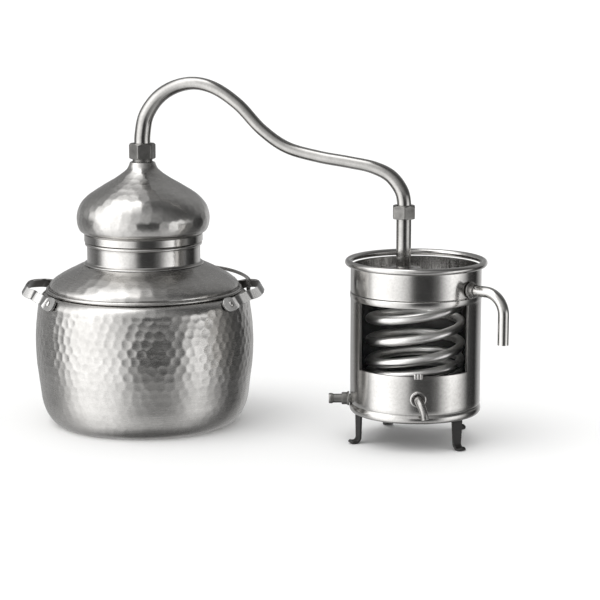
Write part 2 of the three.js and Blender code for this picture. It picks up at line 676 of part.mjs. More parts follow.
// Flat strap leg: a flange under the tub floor, a straight shin, and a toe curled outward and up.
// The curl's middle facet is level, so the foot stands on a flat face.
function leg(angle) {
  const half = LEG_THICKNESS / 2;
  const flangeHeight = TUB_FLOOR_HEIGHT - GAP - half;
  const curlHeight = (LEG_CURL_RADIUS + half) * Math.cos(radians(90 / LEG_CURL_FACETS));
  const curlCentre = LEG_RADIUS + LEG_CURL_RADIUS;
  const curl = (radius) => ellipseArc(curlCentre, curlHeight, radius, radius, 180, 360, LEG_CURL_FACETS);
  const outline = [
    [LEG_RIVET_RADIUS - 5, flangeHeight + half], [LEG_RADIUS - 1, flangeHeight + half],
    [LEG_RADIUS + half, flangeHeight - 1.5], ...curl(LEG_CURL_RADIUS - half),
    ...curl(LEG_CURL_RADIUS + half).reverse(), [LEG_RADIUS - half, flangeHeight - half],
    [LEG_RIVET_RADIUS - 5, flangeHeight - half],
  ];
  const strap = prism(outline, -LEG_WIDTH / 2, LEG_WIDTH / 2);
  strap.rotateX(Math.PI / 2);
  const hole = bar(RIVET_HOLE_RADIUS, TUB_FLOOR_HEIGHT - 6, TUB_FLOOR_HEIGHT + 5, 8);
  hole.translate(LEG_RIVET_RADIUS, 0, 0);
  return cut(strap, hole).rotateZ(radians(angle));
}

function legRivet(angle) {
  const below = TUB_FLOOR_HEIGHT - GAP - LEG_THICKNESS - GAP;
  const place = radialPoint(angle, LEG_RIVET_RADIUS, 0);
  return rivet(below - 1.2, below, TUB_FLOOR_HEIGHT + SHEET + GAP).translate(place.x, place.y, 0);
}

function sightGlass() {
  return curvedPlate(...GLASS_RADII, WINDOW_START - GLASS_MARGIN_ANGLE, WINDOW_END + GLASS_MARGIN_ANGLE,
    WINDOW_BOTTOM - GLASS_MARGIN_HEIGHT, WINDOW_TOP + GLASS_MARGIN_HEIGHT, 16);
}

function glassSeal() {
  const plate = curvedPlate(...SEAL_RADII, WINDOW_START - GLASS_MARGIN_ANGLE, WINDOW_END + GLASS_MARGIN_ANGLE,
    WINDOW_BOTTOM - GLASS_MARGIN_HEIGHT, WINDOW_TOP + GLASS_MARGIN_HEIGHT, 16);
  const opening = curvedPlate(55, 65, WINDOW_START, WINDOW_END, WINDOW_BOTTOM, WINDOW_TOP, 14);
  return cut(plate, opening);
}

function glassClip() {
  return curvedPlate(TUB_RADIUS + GAP, TUB_RADIUS + 1.5, SPOUT_ANGLE - CLIP_HALF_ANGLE,
    SPOUT_ANGLE + CLIP_HALF_ANGLE, WINDOW_BOTTOM - 2, WINDOW_BOTTOM + 3, 2);
}

// ---- tub plumbing ----

function inletPipe() {
  return revolve([
    [INLET_RADIUS - INLET_WALL, INLET_BOTTOM], [INLET_RADIUS, INLET_BOTTOM],
    [INLET_RADIUS, INLET_SHOULDER_HEIGHT - 1], [INLET_SHOULDER_RADIUS, INLET_SHOULDER_HEIGHT],
    [INLET_SHOULDER_RADIUS, INLET_TOP], [INLET_RADIUS - INLET_WALL, INLET_TOP],
  ], SMALL_ROUND);
}

// Helix height at a total turn counted from +X, with the tilt added.
function coilHeight(turn) {
  const fromTilt = turn - COIL_TILT_DIRECTION;
  const low = Math.min(turn - COIL_LOW_START, 0);
  const climb = COIL_PITCH * (fromTilt - low) + COIL_LOW_PITCH * low;
  return COIL_MIDDLE_HEIGHT + climb / 360 + COIL_TILT * Math.cos(radians(fromTilt));
}

const COIL_TURNS_START = -750;
const COIL_TURNS_END = 780;
const COIL_STEP = 30;

// Outlet end first: straight out to the spout, then the turns, then in and up to the inlet pipe.
function coilPath() {
  const knots = [
    radialPoint(SPOUT_ANGLE, 56.8, SPOUT_HEIGHT), radialPoint(SPOUT_ANGLE, 52.5, SPOUT_HEIGHT),
    radialPoint(SPOUT_ANGLE + 8, 46.6, SPOUT_HEIGHT + 0.8), radialPoint(SPOUT_ANGLE + 24, COIL_RADIUS, 60.5),
  ];
  for (let turn = COIL_TURNS_START; turn <= COIL_TURNS_END; turn += COIL_STEP) {
    knots.push(radialPoint(turn, COIL_RADIUS, coilHeight(turn)));
  }
  knots.push(
    radialPoint(90, COIL_RADIUS - 0.8, 140.4), radialPoint(122, 38, 142.6), radialPoint(152, 25, 145.4),
    radialPoint(176, 14.3, 150.6), radialPoint(180, INLET_OFFSET, 157.5), radialPoint(180, INLET_OFFSET, 165),
  );
  return new THREE.CatmullRomCurve3(knots, false, 'centripetal');
}

function coil() {
  return pipe(coilPath(), 96, COIL_TUBE_RADIUS, COIL_BORE_RADIUS, 6);
}

function spout() {
  const knots = SPOUT_DROP.map(([distance, drop]) => {
    const past = Math.max(distance - TUB_RADIUS, 0) / (SPOUT_DROP.at(-1)[0] - TUB_RADIUS);
    return radialPoint(SPOUT_ANGLE + SPOUT_SWAY * past ** 2, distance, SPOUT_HEIGHT - drop);
  });
  const narrowing = (share) => 1 - (1 - SPOUT_END_SCALE) * share;
  return pipe(new THREE.CatmullRomCurve3(knots), 8, SPOUT_PIPE_RADIUS, SPOUT_BORE_RADIUS, 8, narrowing);
}

function overflowPipe() {
  const bendStart = OVERFLOW_REACH - OVERFLOW_BEND_RADIUS;
  const bend = ellipseArc(bendStart, OVERFLOW_HEIGHT - OVERFLOW_BEND_RADIUS, OVERFLOW_BEND_RADIUS,
    OVERFLOW_BEND_RADIUS, 90, 0, 4);
  const knots = [
    [OVERFLOW_INNER_END, OVERFLOW_HEIGHT], [OVERFLOW_INNER_END + 12, OVERFLOW_HEIGHT], ...bend,
    [OVERFLOW_REACH, OVERFLOW_END_HEIGHT + 14], [OVERFLOW_REACH, OVERFLOW_END_HEIGHT],
  ];
  const points = knots.map(([s, z]) => radialPoint(OVERFLOW_ANGLE, s, z));
  const curve = new THREE.CatmullRomCurve3(points, false, 'centripetal');
  return pipe(curve, 12, OVERFLOW_RADIUS, OVERFLOW_BORE_RADIUS, 8);
}

function waterStub() {
  return laidRadially(revolve([
    [STUB_BORE_RADIUS, STUB_INNER_END], [STUB_RADIUS, STUB_INNER_END], [STUB_RADIUS, STUB_OUTER_END - 4.6],
    [STUB_BARB_RADIUS, STUB_OUTER_END - 3.8], [STUB_BARB_RADIUS, STUB_OUTER_END - 1],
    [STUB_RADIUS + 0.2, STUB_OUTER_END], [STUB_BORE_RADIUS, STUB_OUTER_END],
  ], 12), STUB_ANGLE, STUB_HEIGHT);
}

function sleeve({ angle, height, holeRadius, flangeRadius, sleeveRadius, sleeveEnd }) {
  const start = TUB_RADIUS + 0.9;
  return laidRadially(revolve([
    [holeRadius, start], [flangeRadius, start], [flangeRadius, start + 1.8],
    [sleeveRadius, start + 2.2], [sleeveRadius, sleeveEnd], [holeRadius, sleeveEnd],
  ], SMALL_ROUND), angle, height);
}

// Hexagonal lock nut inside the tub wall.
function lockNut({ angle, height, holeRadius, nutCornerRadius, nutStart, nutEnd }) {
  const hole = bar(holeRadius, nutStart - 1, nutEnd + 1, SMALL_ROUND);
  const nut = cut(prism(hexagon(nutCornerRadius, 0), nutStart, nutEnd), hole);
  return laidRadially(nut, angle, height);
}

// ---- assembly ----

const still = new THREE.Group();
still.name = 'alembic_still';

function add(name, geometry, finish) {
  const mesh = new THREE.Mesh(geometry, new THREE.MeshStandardMaterial(finishes[finish]));
  mesh.name = name;
  still.add(mesh);
}

add('pot_shell', potShell(), 'hammered');
add('handle_right', handle('right'), 'polished');
add('handle_left', handle('left'), 'polished');
add('handle_rear_strap', rearStrap(), 'polished');
for (const place of potRivets) {
  add(`rivet_${place.name}`, onPot(rivet(...place.clench, STRAP_THICKNESS / 2 + GAP), place), 'polished');
}

add('cover', cover(), 'hammered');
add('collar', collar(), 'polished');

add('head_spigot', headSpigot(), 'polished');
add('head_skirt', headSkirt(), 'polished');
add('onion_head', onionHead(), 'hammered');
add('vapour_stub', vapourStub(), 'nut');

add('swan_neck', swanNeck(), 'polished');
const headFerruleTop = NECK_START + HEAD_FERRULE_THICKNESS;
const coilFerruleTop = NECK_END + COIL_FERRULE_THICKNESS;
add('head_ferrule', ring(...HEAD_FERRULE_RADII, NECK_START, headFerruleTop), 'nut');
add('coil_ferrule', ring(...COIL_FERRULE_RADII, NECK_END, coilFerruleTop).translate(COIL_UNION_X, 0, 0),
  'nut');
add('head_nut', unionNut(HEAD_NUT_CORNER_RADIUS, HEAD_NUT_CORNER_ANGLE, HEAD_NUT_BOTTOM, HEAD_NUT_TOP,
  HEAD_NUT_THREAD_RADIUS, headFerruleTop + FERRULE_GAP, HEAD_NUT_HOLE_RADIUS), 'nut');
add('coil_nut', unionNut(COIL_NUT_CORNER_RADIUS, COIL_NUT_CORNER_ANGLE, COIL_NUT_BOTTOM, COIL_NUT_TOP,
  COIL_NUT_THREAD_RADIUS, coilFerruleTop + FERRULE_GAP, COIL_NUT_HOLE_RADIUS)
  .translate(COIL_UNION_X, 0, 0), 'nut');

add('tub_wall', atTub(tubWall()), 'polished');
add('tub_upper_band', atTub(tubUpperBand()), 'polished');
add('tub_rim', atTub(tubRim()), 'polished');
add('tub_floor', atTub(tubFloor()), 'polished');
LEG_ANGLES.forEach((angle, k) => {
  add(`leg_${k + 1}`, atTub(leg(angle)), 'iron');
  add(`leg_rivet_${k + 1}`, atTub(legRivet(angle)), 'iron');
});
add('sight_glass', atTub(sightGlass()), 'glass');
add('glass_seal', atTub(glassSeal()), 'rubber');
add('glass_clip', atTub(glassClip()), 'polished');

add('inlet_pipe', inletPipe().translate(COIL_UNION_X, 0, 0), 'polished');
add('inlet_disc', ring(INLET_RADIUS + GAP, INLET_DISC_RADIUS, ...INLET_DISC_HEIGHTS, 24)
  .translate(COIL_UNION_X, 0, 0), 'polished');
add('inlet_reducer', ring(...REDUCER_RADII, INLET_BOTTOM + 0.4, REDUCER_TOP).translate(COIL_UNION_X, 0, 0),
  'polished');
add('coil', atTub(coil()), 'polished');
add('spout', atTub(spout()), 'polished');
add('spout_flange', atTub(sleeve(FITTINGS.spout)), 'polished');
add('spout_lock_nut', atTub(lockNut(FITTINGS.spout)), 'nut');
add('overflow_pipe', atTub(overflowPipe()), 'polished');
add('overflow_sleeve', atTub(sleeve(FITTINGS.overflow)), 'polished');
add('overflow_lock_nut', atTub(lockNut(FITTINGS.overflow)), 'nut');
add('water_stub', atTub(waterStub()), 'polished');
add('water_sleeve', atTub(sleeve(FITTINGS.water)), 'polished');
add('water_lock_nut', atTub(lockNut(FITTINGS.water)), 'nut');

export default still;
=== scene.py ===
"""Looks of the alembic still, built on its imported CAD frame. Lengths are in millimetres until build()."""

import random
from math import atan2, cos, degrees, hypot, pi, radians, sin, sqrt

import bmesh
import bpy
import numpy as np
from numpy import linspace
from mathutils import Matrix, Vector, kdtree, noise as lattice


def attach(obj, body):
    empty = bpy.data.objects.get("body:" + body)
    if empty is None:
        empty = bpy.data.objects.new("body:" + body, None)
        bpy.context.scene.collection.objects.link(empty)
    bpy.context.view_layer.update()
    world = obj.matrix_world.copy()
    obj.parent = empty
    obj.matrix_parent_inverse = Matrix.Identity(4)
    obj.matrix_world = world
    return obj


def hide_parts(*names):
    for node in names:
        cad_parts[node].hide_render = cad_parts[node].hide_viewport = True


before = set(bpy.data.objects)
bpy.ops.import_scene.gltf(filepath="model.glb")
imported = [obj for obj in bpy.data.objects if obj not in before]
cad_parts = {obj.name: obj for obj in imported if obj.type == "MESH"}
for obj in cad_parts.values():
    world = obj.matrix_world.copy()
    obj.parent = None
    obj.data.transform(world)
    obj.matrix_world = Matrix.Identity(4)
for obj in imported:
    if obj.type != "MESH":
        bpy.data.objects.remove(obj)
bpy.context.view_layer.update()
random.seed(41)

MM = 0.001
GAP = 0.3
SHEET = 1.5
TUB_X = 283.2
BASE, COVER, HEAD, NECK = "still_base", "cover", "head", "neck"


def placed(name, data):
    thing = bpy.data.objects.new(name, data)
    bpy.context.scene.collection.objects.link(thing)
    return thing


# ---- camera, lights and floor ----

CAMERA_AZIMUTH = radians(17.11)
CAMERA_PITCH = radians(10.02)


def make_camera():
    data = bpy.data.cameras.new("camera")
    data.lens = 120
    data.sensor_width = 36
    data.clip_end = 100
    camera = placed("camera", data)
    camera.location = (0.7394, -1.8650, 0.4771)
    camera.rotation_euler = (pi / 2 - CAMERA_PITCH, 0, CAMERA_AZIMUTH)
    bpy.context.scene.camera = camera


def shadow_light():
    """Large soft lamp, high on the left, that only shades; what metal mirrors is the surround."""
    data = bpy.data.lights.new("sun", "SUN")
    data.angle = radians(50)
    data.energy = 0.9
    light = placed("sun", data)
    turn = radians(-60) + CAMERA_AZIMUTH
    away = Vector((sin(turn), -cos(turn), 1.5)).normalized()
    light.rotation_mode = "QUATERNION"
    light.rotation_quaternion = (-away).to_track_quat("-Z", "Y")
    light.visible_glossy = False


def make_world():
    world = bpy.data.worlds.new("studio")
    bpy.context.scene.world = world
    world.use_nodes = True
    settings(world.node_tree.nodes["Background"], {"Color": (1, 1, 1, 1), "Strength": 1.0})


# Brightness of the studio that metal mirrors, by degrees from the camera's side, positive to the right.
# Each level takes over from the one before it between two heights on a unit sphere.
SURROUND = {
    "down": [(-180, 0.12), (180, 0.12)],
    "below": [(-180, 0.5), (-130, 0.5), (-100, 0.9), (-70, 1.3), (-40, 1.1), (-15, 0.8), (10, 0.65),
    (40, 0.6), (62, 0.65), (85, 0.35), (105, 0.18), (130, 0.25), (180, 0.5)],
    "low": [(-180, 0.4), (-150, 0.5), (-128, 0.34), (-104, 0.16), (-94, 0.5), (-82, 1.8), (-60, 2.2),
    (-45, 1.85), (-27, 1.3), (-16, 0.85), (-8, 0.2), (0, 0.06), (24, 0.05), (37, 0.22), (50, 1.05),
    (62, 1.65), (74, 1.45), (88, 0.75), (101, 0.08), (126, 0.02), (142, 0.5), (158, 0.75), (180, 0.4)],
    "high": [(-180, 0.25), (-140, 0.3), (-112, 0.42), (-92, 1.9), (-70, 2.7), (-50, 2.3), (-38, 1.6),
    (-24, 1.0), (-9, 0.75), (5, 0.6), (19, 0.4), (48, 0.2), (65, 0.13), (82, 0.1), (102, 0.12),
    (130, 0.3), (155, 0.35), (180, 0.25)],
    "above": [(-180, 0.35), (-140, 1.2), (-115, 2.3), (-90, 2.9), (-60, 3.0), (-30, 2.4), (-10, 1.1),
    (5, 0.4), (30, 0.2), (60, 0.12), (120, 0.18), (180, 0.35)],
}
LEVEL_HEIGHTS = {"below": (-0.97, -0.8), "low": (-0.75, -0.2), "high": (0.0, 0.2), "above": (0.7, 0.92)}
BRIGHTEST = 3


def make_surround():
    """Glowing dome that only reflections see: bright panels left and right, dark gaps between them."""
    mesh = bpy.data.meshes.new("surround")
    shape = bmesh.new()
    bmesh.ops.create_uvsphere(shape, u_segments=64, v_segments=32, radius=8)
    shape.to_mesh(mesh)
    shape.free()
    dome = placed("surround", mesh)
    dome.rotation_euler = (0, 0, CAMERA_AZIMUTH - pi / 2)
    dome.location = (0.13, 0, 0.12)
    for rays in ("camera", "diffuse", "shadow", "transmission"):
        setattr(dome, "visible_" + rays, False)
    material, nodes, links, _ = new_material("surround_glow")
    nodes.clear()
    output = nodes.new("ShaderNodeOutputMaterial")
    glow = nodes.new("ShaderNodeEmission")
    coordinate = nodes.new("ShaderNodeTexCoord")
    unit = nodes.new("ShaderNodeVectorMath")
    unit.operation = "NORMALIZE"
    split = nodes.new("ShaderNodeSeparateXYZ")
    angle = nodes.new("ShaderNodeMath")
    angle.operation = "ARCTAN2"
    links.new(coordinate.outputs["Object"], unit.inputs[0])
    links.new(unit.outputs["Vector"], split.inputs["Vector"])
    links.new(split.outputs["Y"], angle.inputs[0])
    links.new(split.outputs["X"], angle.inputs[1])
    share = ranged(nodes, links, angle.outputs[0], -pi, pi)
    blend = None
    for level, stops in SURROUND.items():
        places = [((bearing + 180) / 360, value / BRIGHTEST) for bearing, value in stops]
        colour = ramped(nodes, links, share, places)
        if blend is None:
            blend = colour
        else:
            rise = ranged(nodes, links, split.outputs["Z"], *LEVEL_HEIGHTS[level])
            blend = mixed(nodes, links, rise, blend, colour)
    links.new(blend, glow.inputs["Color"])
    settings(glow, {"Strength": BRIGHTEST})
    links.new(glow.outputs["Emission"], output.inputs["Surface"])
    material.cycles.emission_sampling = "NONE"
    mesh.materials.append(material)


def make_floor():
    mesh = bpy.data.meshes.new("floor")
    reach = 40
    corners = [(-reach, -reach, 0), (reach, -reach, 0), (reach, reach, 0), (-reach, reach, 0)]
    mesh.from_pydata(corners, [], [(0, 1, 2, 3)])
    floor = placed("floor", mesh)
    material, _, _, shader = new_material("floor_white")
    settings(shader, {"Base Color": (0.93, 0.93, 0.925, 1), "Roughness": 0.75})
    mesh.materials.append(material)
    floor.visible_glossy = False


# ---- materials ----

def new_material(name):
    material = bpy.data.materials.new(name)
    material.use_nodes = True
    nodes, links = material.node_tree.nodes, material.node_tree.links
    return material, nodes, links, nodes["Principled BSDF"]


def settings(node, values):
    for socket, value in values.items():
        node.inputs[socket].default_value = value


def noise(nodes, links, source, scale, detail=3, roughness=0.55, stretch=(1, 1, 1)):
    mapping = nodes.new("ShaderNodeMapping")
    settings(mapping, {"Scale": stretch})
    texture = nodes.new("ShaderNodeTexNoise")
    settings(texture, {"Scale": scale, "Detail": detail, "Roughness": roughness})
    links.new(source, mapping.inputs["Vector"])
    links.new(mapping.outputs["Vector"], texture.inputs["Vector"])
    return texture.outputs["Fac"]


def ranged(nodes, links, source, low, high, start=0.0, end=1.0):
    node = nodes.new("ShaderNodeMapRange")
    settings(node, {"From Min": low, "From Max": high, "To Min": start, "To Max": end})
    links.new(source, node.inputs["Value"])
    return node.outputs["Result"]


def mixed(nodes, links, factor, first, second):
    node = nodes.new("ShaderNodeMix")
    node.data_type = "RGBA"
    for socket, value in (("A", first), ("B", second)):
        if hasattr(value, "is_linked"):
            links.new(value, node.inputs[socket])
        else:
            node.inputs[socket].default_value = (*value, 1)
    links.new(factor, node.inputs["Factor"])
    return node.outputs["Result"]


def ramped(nodes, links, source, stops):
    """Grey ramp through stops of (position from 0 to 1, value)."""
    ramp = nodes.new("ShaderNodeValToRGB")
    elements = ramp.color_ramp.elements
    while len(elements) < len(stops):
        elements.new(0.5)
    for element, (position, value) in zip(elements, stops):
        element.position = position
        element.color = (value, value, value, 1)
    links.new(source, ramp.inputs["Fac"])
    return ramp.outputs["Color"]


def bumped(nodes, links, height, strength, depth, below=None):
    """Normal of a bump of a depth in millimetres, on top of another bump's normal if one is given."""
    bump = nodes.new("ShaderNodeBump")
    settings(bump, {"Strength": strength, "Distance": depth * MM})
    links.new(height, bump.inputs["Height"])
    if below is not None:
        links.new(below, bump.inputs["Normal"])
    return bump.outputs["Normal"]


def shaded(colour, share):
    return [min(channel * share, 0.95) for channel in colour]


def metal(name, light, dark, roughness, grain, grain_depth=0.02, cloud=28, pits=0.0, wear=0.25, shade_bands=None):
    """Metal with drawn or turned grain in its UVs, clouded tarnish, painted shade in its hollows and creases,
    and brighter worn edges.

    grain is the noise scale across and along the UVs, in marks per millimetre. The last argument paints shade
    in dark bands along the length, as at a strap's creases: pairs of millimetres and share left unshaded.
    """
    material, nodes, links, shader = new_material(name)
    coordinate = nodes.new("ShaderNodeTexCoord")
    clouds = noise(nodes, links, coordinate.outputs["Object"], cloud, 4)
    speckle = noise(nodes, links, coordinate.outputs["Object"], cloud * 14, 4, 0.65)
    streaks = noise(nodes, links, coordinate.outputs["UV"], 1, 5, 0.6, (grain[0], grain[1], 1))
    geometry = nodes.new("ShaderNodeNewGeometry")
    edges = ranged(nodes, links, geometry.outputs["Pointiness"], 0.49, 0.56)
    # Painted shade: colour darkens in hollows and creases, where shade falls.
    hollow_shade = ranged(nodes, links, geometry.outputs["Pointiness"], 0.44, 0.5, 1, 0)
    colour = mixed(nodes, links, ranged(nodes, links, clouds, 0.3, 0.7), dark, light)
    layers = [(speckle, 0.42, 0.8, 0.35, shaded(dark, 0.6)), (hollow_shade, 0, 1, 0.5, shaded(dark, 0.45)),
        (edges, 0, 1, wear, shaded(light, 1.3))]
    for mask, low, high, most, other in layers:
        colour = mixed(nodes, links, ranged(nodes, links, mask, low, high, 0, most), colour, other)
    # Painted shade: dark bands along the length, where a strap's creases and bends fall into shade.
    if shade_bands:
        length = shade_bands[-1][0]
        along = nodes.new("ShaderNodeSeparateXYZ")
        links.new(coordinate.outputs["UV"], along.inputs["Vector"])
        share = ranged(nodes, links, along.outputs["Y"], 0, length)
        unshaded = ramped(nodes, links, share, [(distance / length, unshaded_share) for distance, unshaded_share in shade_bands])
        colour = mixed(nodes, links, unshaded, shaded(dark, 0.1), colour)
    links.new(colour, shader.inputs["Base Color"])
    settings(shader, {"Metallic": 0.5 if shade_bands else 1})
    rough_cloud = ranged(nodes, links, clouds, 0.25, 0.75, roughness * 1.25, roughness * 0.8)
    rough_grain = ranged(nodes, links, streaks, 0.3, 0.7, -0.05, 0.06)
    total = nodes.new("ShaderNodeMath")
    total.operation = "ADD"
    links.new(rough_cloud, total.inputs[0])
    links.new(rough_grain, total.inputs[1])
    links.new(total.outputs[0], shader.inputs["Roughness"])
    normal = bumped(nodes, links, streaks, 0.6, grain_depth)
    if pits:
        rough_skin = noise(nodes, links, coordinate.outputs["Object"], 900, 5, 0.6)
        normal = bumped(nodes, links, rough_skin, 1, pits, normal)
    links.new(normal, shader.inputs["Normal"])
    return material


def glass_material():
    material, nodes, links, shader = new_material("window_glass")
    coordinate = nodes.new("ShaderNodeTexCoord")
    film = noise(nodes, links, coordinate.outputs["Object"], 30, 3)
    share = ranged(nodes, links, film, 0.3, 0.7)
    tint = mixed(nodes, links, share, (0.08, 0.083, 0.082), (0.14, 0.145, 0.145))
    links.new(tint, shader.inputs["Base Color"])
    links.new(ranged(nodes, links, film, 0.3, 0.7, 0.02, 0.07), shader.inputs["Roughness"])
    settings(shader, {"Alpha": 0.03, "IOR": 1.12})
    return material


def plain_rough(name, light, dark, roughness, scale, depth):
    material, nodes, links, shader = new_material(name)
    coordinate = nodes.new("ShaderNodeTexCoord")
    grain = noise(nodes, links, coordinate.outputs["Object"], scale, 5)
    colour = mixed(nodes, links, ranged(nodes, links, grain, 0.3, 0.7), dark, light)
    rough = ranged(nodes, links, grain, 0.2, 0.8, roughness - 0.1, roughness + 0.1)
    links.new(colour, shader.inputs["Base Color"])
    links.new(rough, shader.inputs["Roughness"])
    links.new(bumped(nodes, links, grain, 0.8, depth), shader.inputs["Normal"])
    return material


STEEL = (0.60, 0.59, 0.575)
STEEL_DARK = (0.47, 0.46, 0.445)
PIPE_GRAIN = (1.2, 0.012)
STRAP_GRAIN = (0.06, 1.2)
STRAP_LENGTH = 160

hammered = metal("hammered_sheet", STEEL, STEEL_DARK, 0.27, (0.05, 1.6), 0.02, 22)
satin = metal("satin_dome", STEEL, STEEL_DARK, 0.25, (0.03, 2.2), 0.03, 24)
glossy = metal("glossy_head", STEEL, STEEL_DARK, 0.2, (0.04, 1.5), 0.015, 24)
turned = metal("turned_sheet", STEEL, (0.5, 0.49, 0.475), 0.15, (0.03, 2.5), 0.012, 26)
drawn = metal("drawn_tube", (0.5, 0.49, 0.475), (0.32, 0.315, 0.305), 0.16, PIPE_GRAIN, 0.03, 30)
dull = metal("dull_inside", (0.66, 0.65, 0.635), (0.36, 0.355, 0.345), 0.2, (0.055, 0.002), 5, 30)
coil_skin = metal("coil_skin", (0.86, 0.85, 0.83), (0.66, 0.65, 0.63), 0.32, PIPE_GRAIN, 0.03, 40)
# Dark copy of the steel for inner walls and the tub floor: painted shade where little light reaches inside.
shaded_inside = metal("painted_shade_inside", (0.16, 0.155, 0.15), (0.08, 0.078, 0.075), 0.4, (0.05, 1.0), 0.02, 30)
nut_metal = metal("nut_skin", (0.26, 0.255, 0.245), (0.13, 0.127, 0.122), 0.38, (0.4, 0.4), 0.03, 90,
    pits=0.12, wear=0.5)
strap_metal = metal("strap_skin", (0.7, 0.69, 0.675), (0.46, 0.45, 0.44), 0.13, STRAP_GRAIN, 0.03, 60,
    pits=0.02, wear=0.5)
# The handle straps' painted shade: dark bands at their creases and bends, full colour on the lobes between.
strap_shade_bands = [(0, 0.55), (16, 0.4), (17.5, 1), (20, 1), (21, 0.05), (25.5, 0.05), (27.5, 0.8), (36, 1),
    (37.5, 0.08), (41, 0.05), (43, 0.85), (56.5, 1), (59, 0.25), (61, 0.04)]
strap_shade_bands += [(STRAP_LENGTH - distance, unshaded_share) for distance, unshaded_share in reversed(strap_shade_bands)]
handle_metal = metal("handle_skin", (0.88, 0.87, 0.85), (0.74, 0.73, 0.715), 0.26, STRAP_GRAIN, 0.03, 60,
    pits=0.02, wear=0.2, shade_bands=strap_shade_bands)
# Dark copy of the handle steel for the strap's edges and underside: painted shade.
handle_painted_shade = metal("handle_painted_shade", (0.2, 0.195, 0.19), (0.1, 0.098, 0.094), 0.34, STRAP_GRAIN, 0.03, 60)
fitting = metal("fitting_skin", (0.44, 0.43, 0.42), (0.26, 0.255, 0.245), 0.24, STRAP_GRAIN, 0.03, 70,
    pits=0.03, wear=0.5)
iron = plain_rough("black_iron", (0.016, 0.015, 0.014), (0.007, 0.0065, 0.006), 0.5, 260, 0.06)
rubber = plain_rough("seal_rubber", (0.09, 0.085, 0.08), (0.05, 0.047, 0.045), 0.7, 400, 0.03)
glass = glass_material()


# ---- mesh helpers ----

def mark_edges(work, sharp):
    """Turn the faces outward and leave an edge sharp where its faces meet at more than an angle."""
    bmesh.ops.recalc_face_normals(work, faces=work.faces)
    for edge in work.edges:
        edge.smooth = edge.calc_face_angle(0.0) < radians(sharp)


def build(name, points, faces, material, body, node, uvs, sharp=32, inside=None, marks=None):
    """Mesh object from points in millimetres, one uv a point. Faces marked 1 take the inside material."""
    mesh = bpy.data.meshes.new(name)
    mesh.from_pydata([(x * MM, y * MM, z * MM) for x, y, z in points], [], faces)
    mesh.materials.append(material)
    layer = mesh.uv_layers.new(name="UVMap")
    corner_points = np.zeros(len(mesh.loops), int)
    mesh.loops.foreach_get("vertex_index", corner_points)
    layer.data.foreach_set("uv", np.asarray(uvs, np.float32)[corner_points].ravel())
    if inside:
        mesh.materials.append(inside)
        mesh.polygons.foreach_set("material_index", marks)
    work = bmesh.new()
    work.from_mesh(mesh)
    for face in work.faces:
        face.smooth = True
    mark_edges(work, sharp)
    work.to_mesh(mesh)
    work.free()
    piece = placed(name, mesh)
    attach(piece, body)
    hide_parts(node)
    return piece


def arc(centre_r, centre_z, radius_r, radius_z, start, end, steps):
    turns = np.radians(linspace(start, end, steps + 1))
    return [(centre_r + radius_r * cos(t), centre_z + radius_z * sin(t)) for t in turns]


def between(t, start, end, a, b):
    return (end - t) / (end - start) * a + (t - start) / (end - start) * b


def spline(knots, step):
    """Centripetal Catmull-Rom curve through the knots, resampled every step millimetres."""
    points = [np.array(k, float) for k in knots]
    points = [2 * points[0] - points[1], *points, 2 * points[-1] - points[-2]]
    fine = []
    for p0, p1, p2, p3 in zip(points, points[1:], points[2:], points[3:]):
        gaps = [np.linalg.norm(b - a) ** 0.5 for a, b in ((p0, p1), (p1, p2), (p2, p3))]
        t0, t1, t2, t3 = np.cumsum([0, *gaps])
        for t in linspace(t1, t2, 24, endpoint=False):
            middle = between(t, t1, t2, p1, p2)
            first = between(t, t0, t2, between(t, t0, t1, p0, p1), middle)
            second = between(t, t1, t3, middle, between(t, t2, t3, p2, p3))
            fine.append(between(t, t1, t2, first, second))
    fine.append(points[-2])
    return resample(fine, step)


def resample(points, step):
    points = np.array(points, float)
    lengths = np.concatenate([[0], np.cumsum(np.linalg.norm(np.diff(points, axis=0), axis=1))])
    count = max(2, int(round(lengths[-1] / step)) + 1)
    wanted = linspace(0, lengths[-1], count)
    columns = [np.interp(wanted, lengths, points[:, k]) for k in range(points.shape[1])]
    return [tuple(p) for p in np.stack(columns, 1)]


def directions(points):
    """At each point, the way from the point before it to the point after it."""
    points = [Vector(p) for p in points]
    last = len(points) - 1
    return [points[min(k + 1, last)] - points[max(k - 1, 0)] for k in range(last + 1)]


def travel(points):
    """Distance along the path at each point."""
    distances = [0.0]
    for a, b in zip(points, points[1:]):
        distances.append(distances[-1] + (Vector(b) - Vector(a)).length)
    return distances


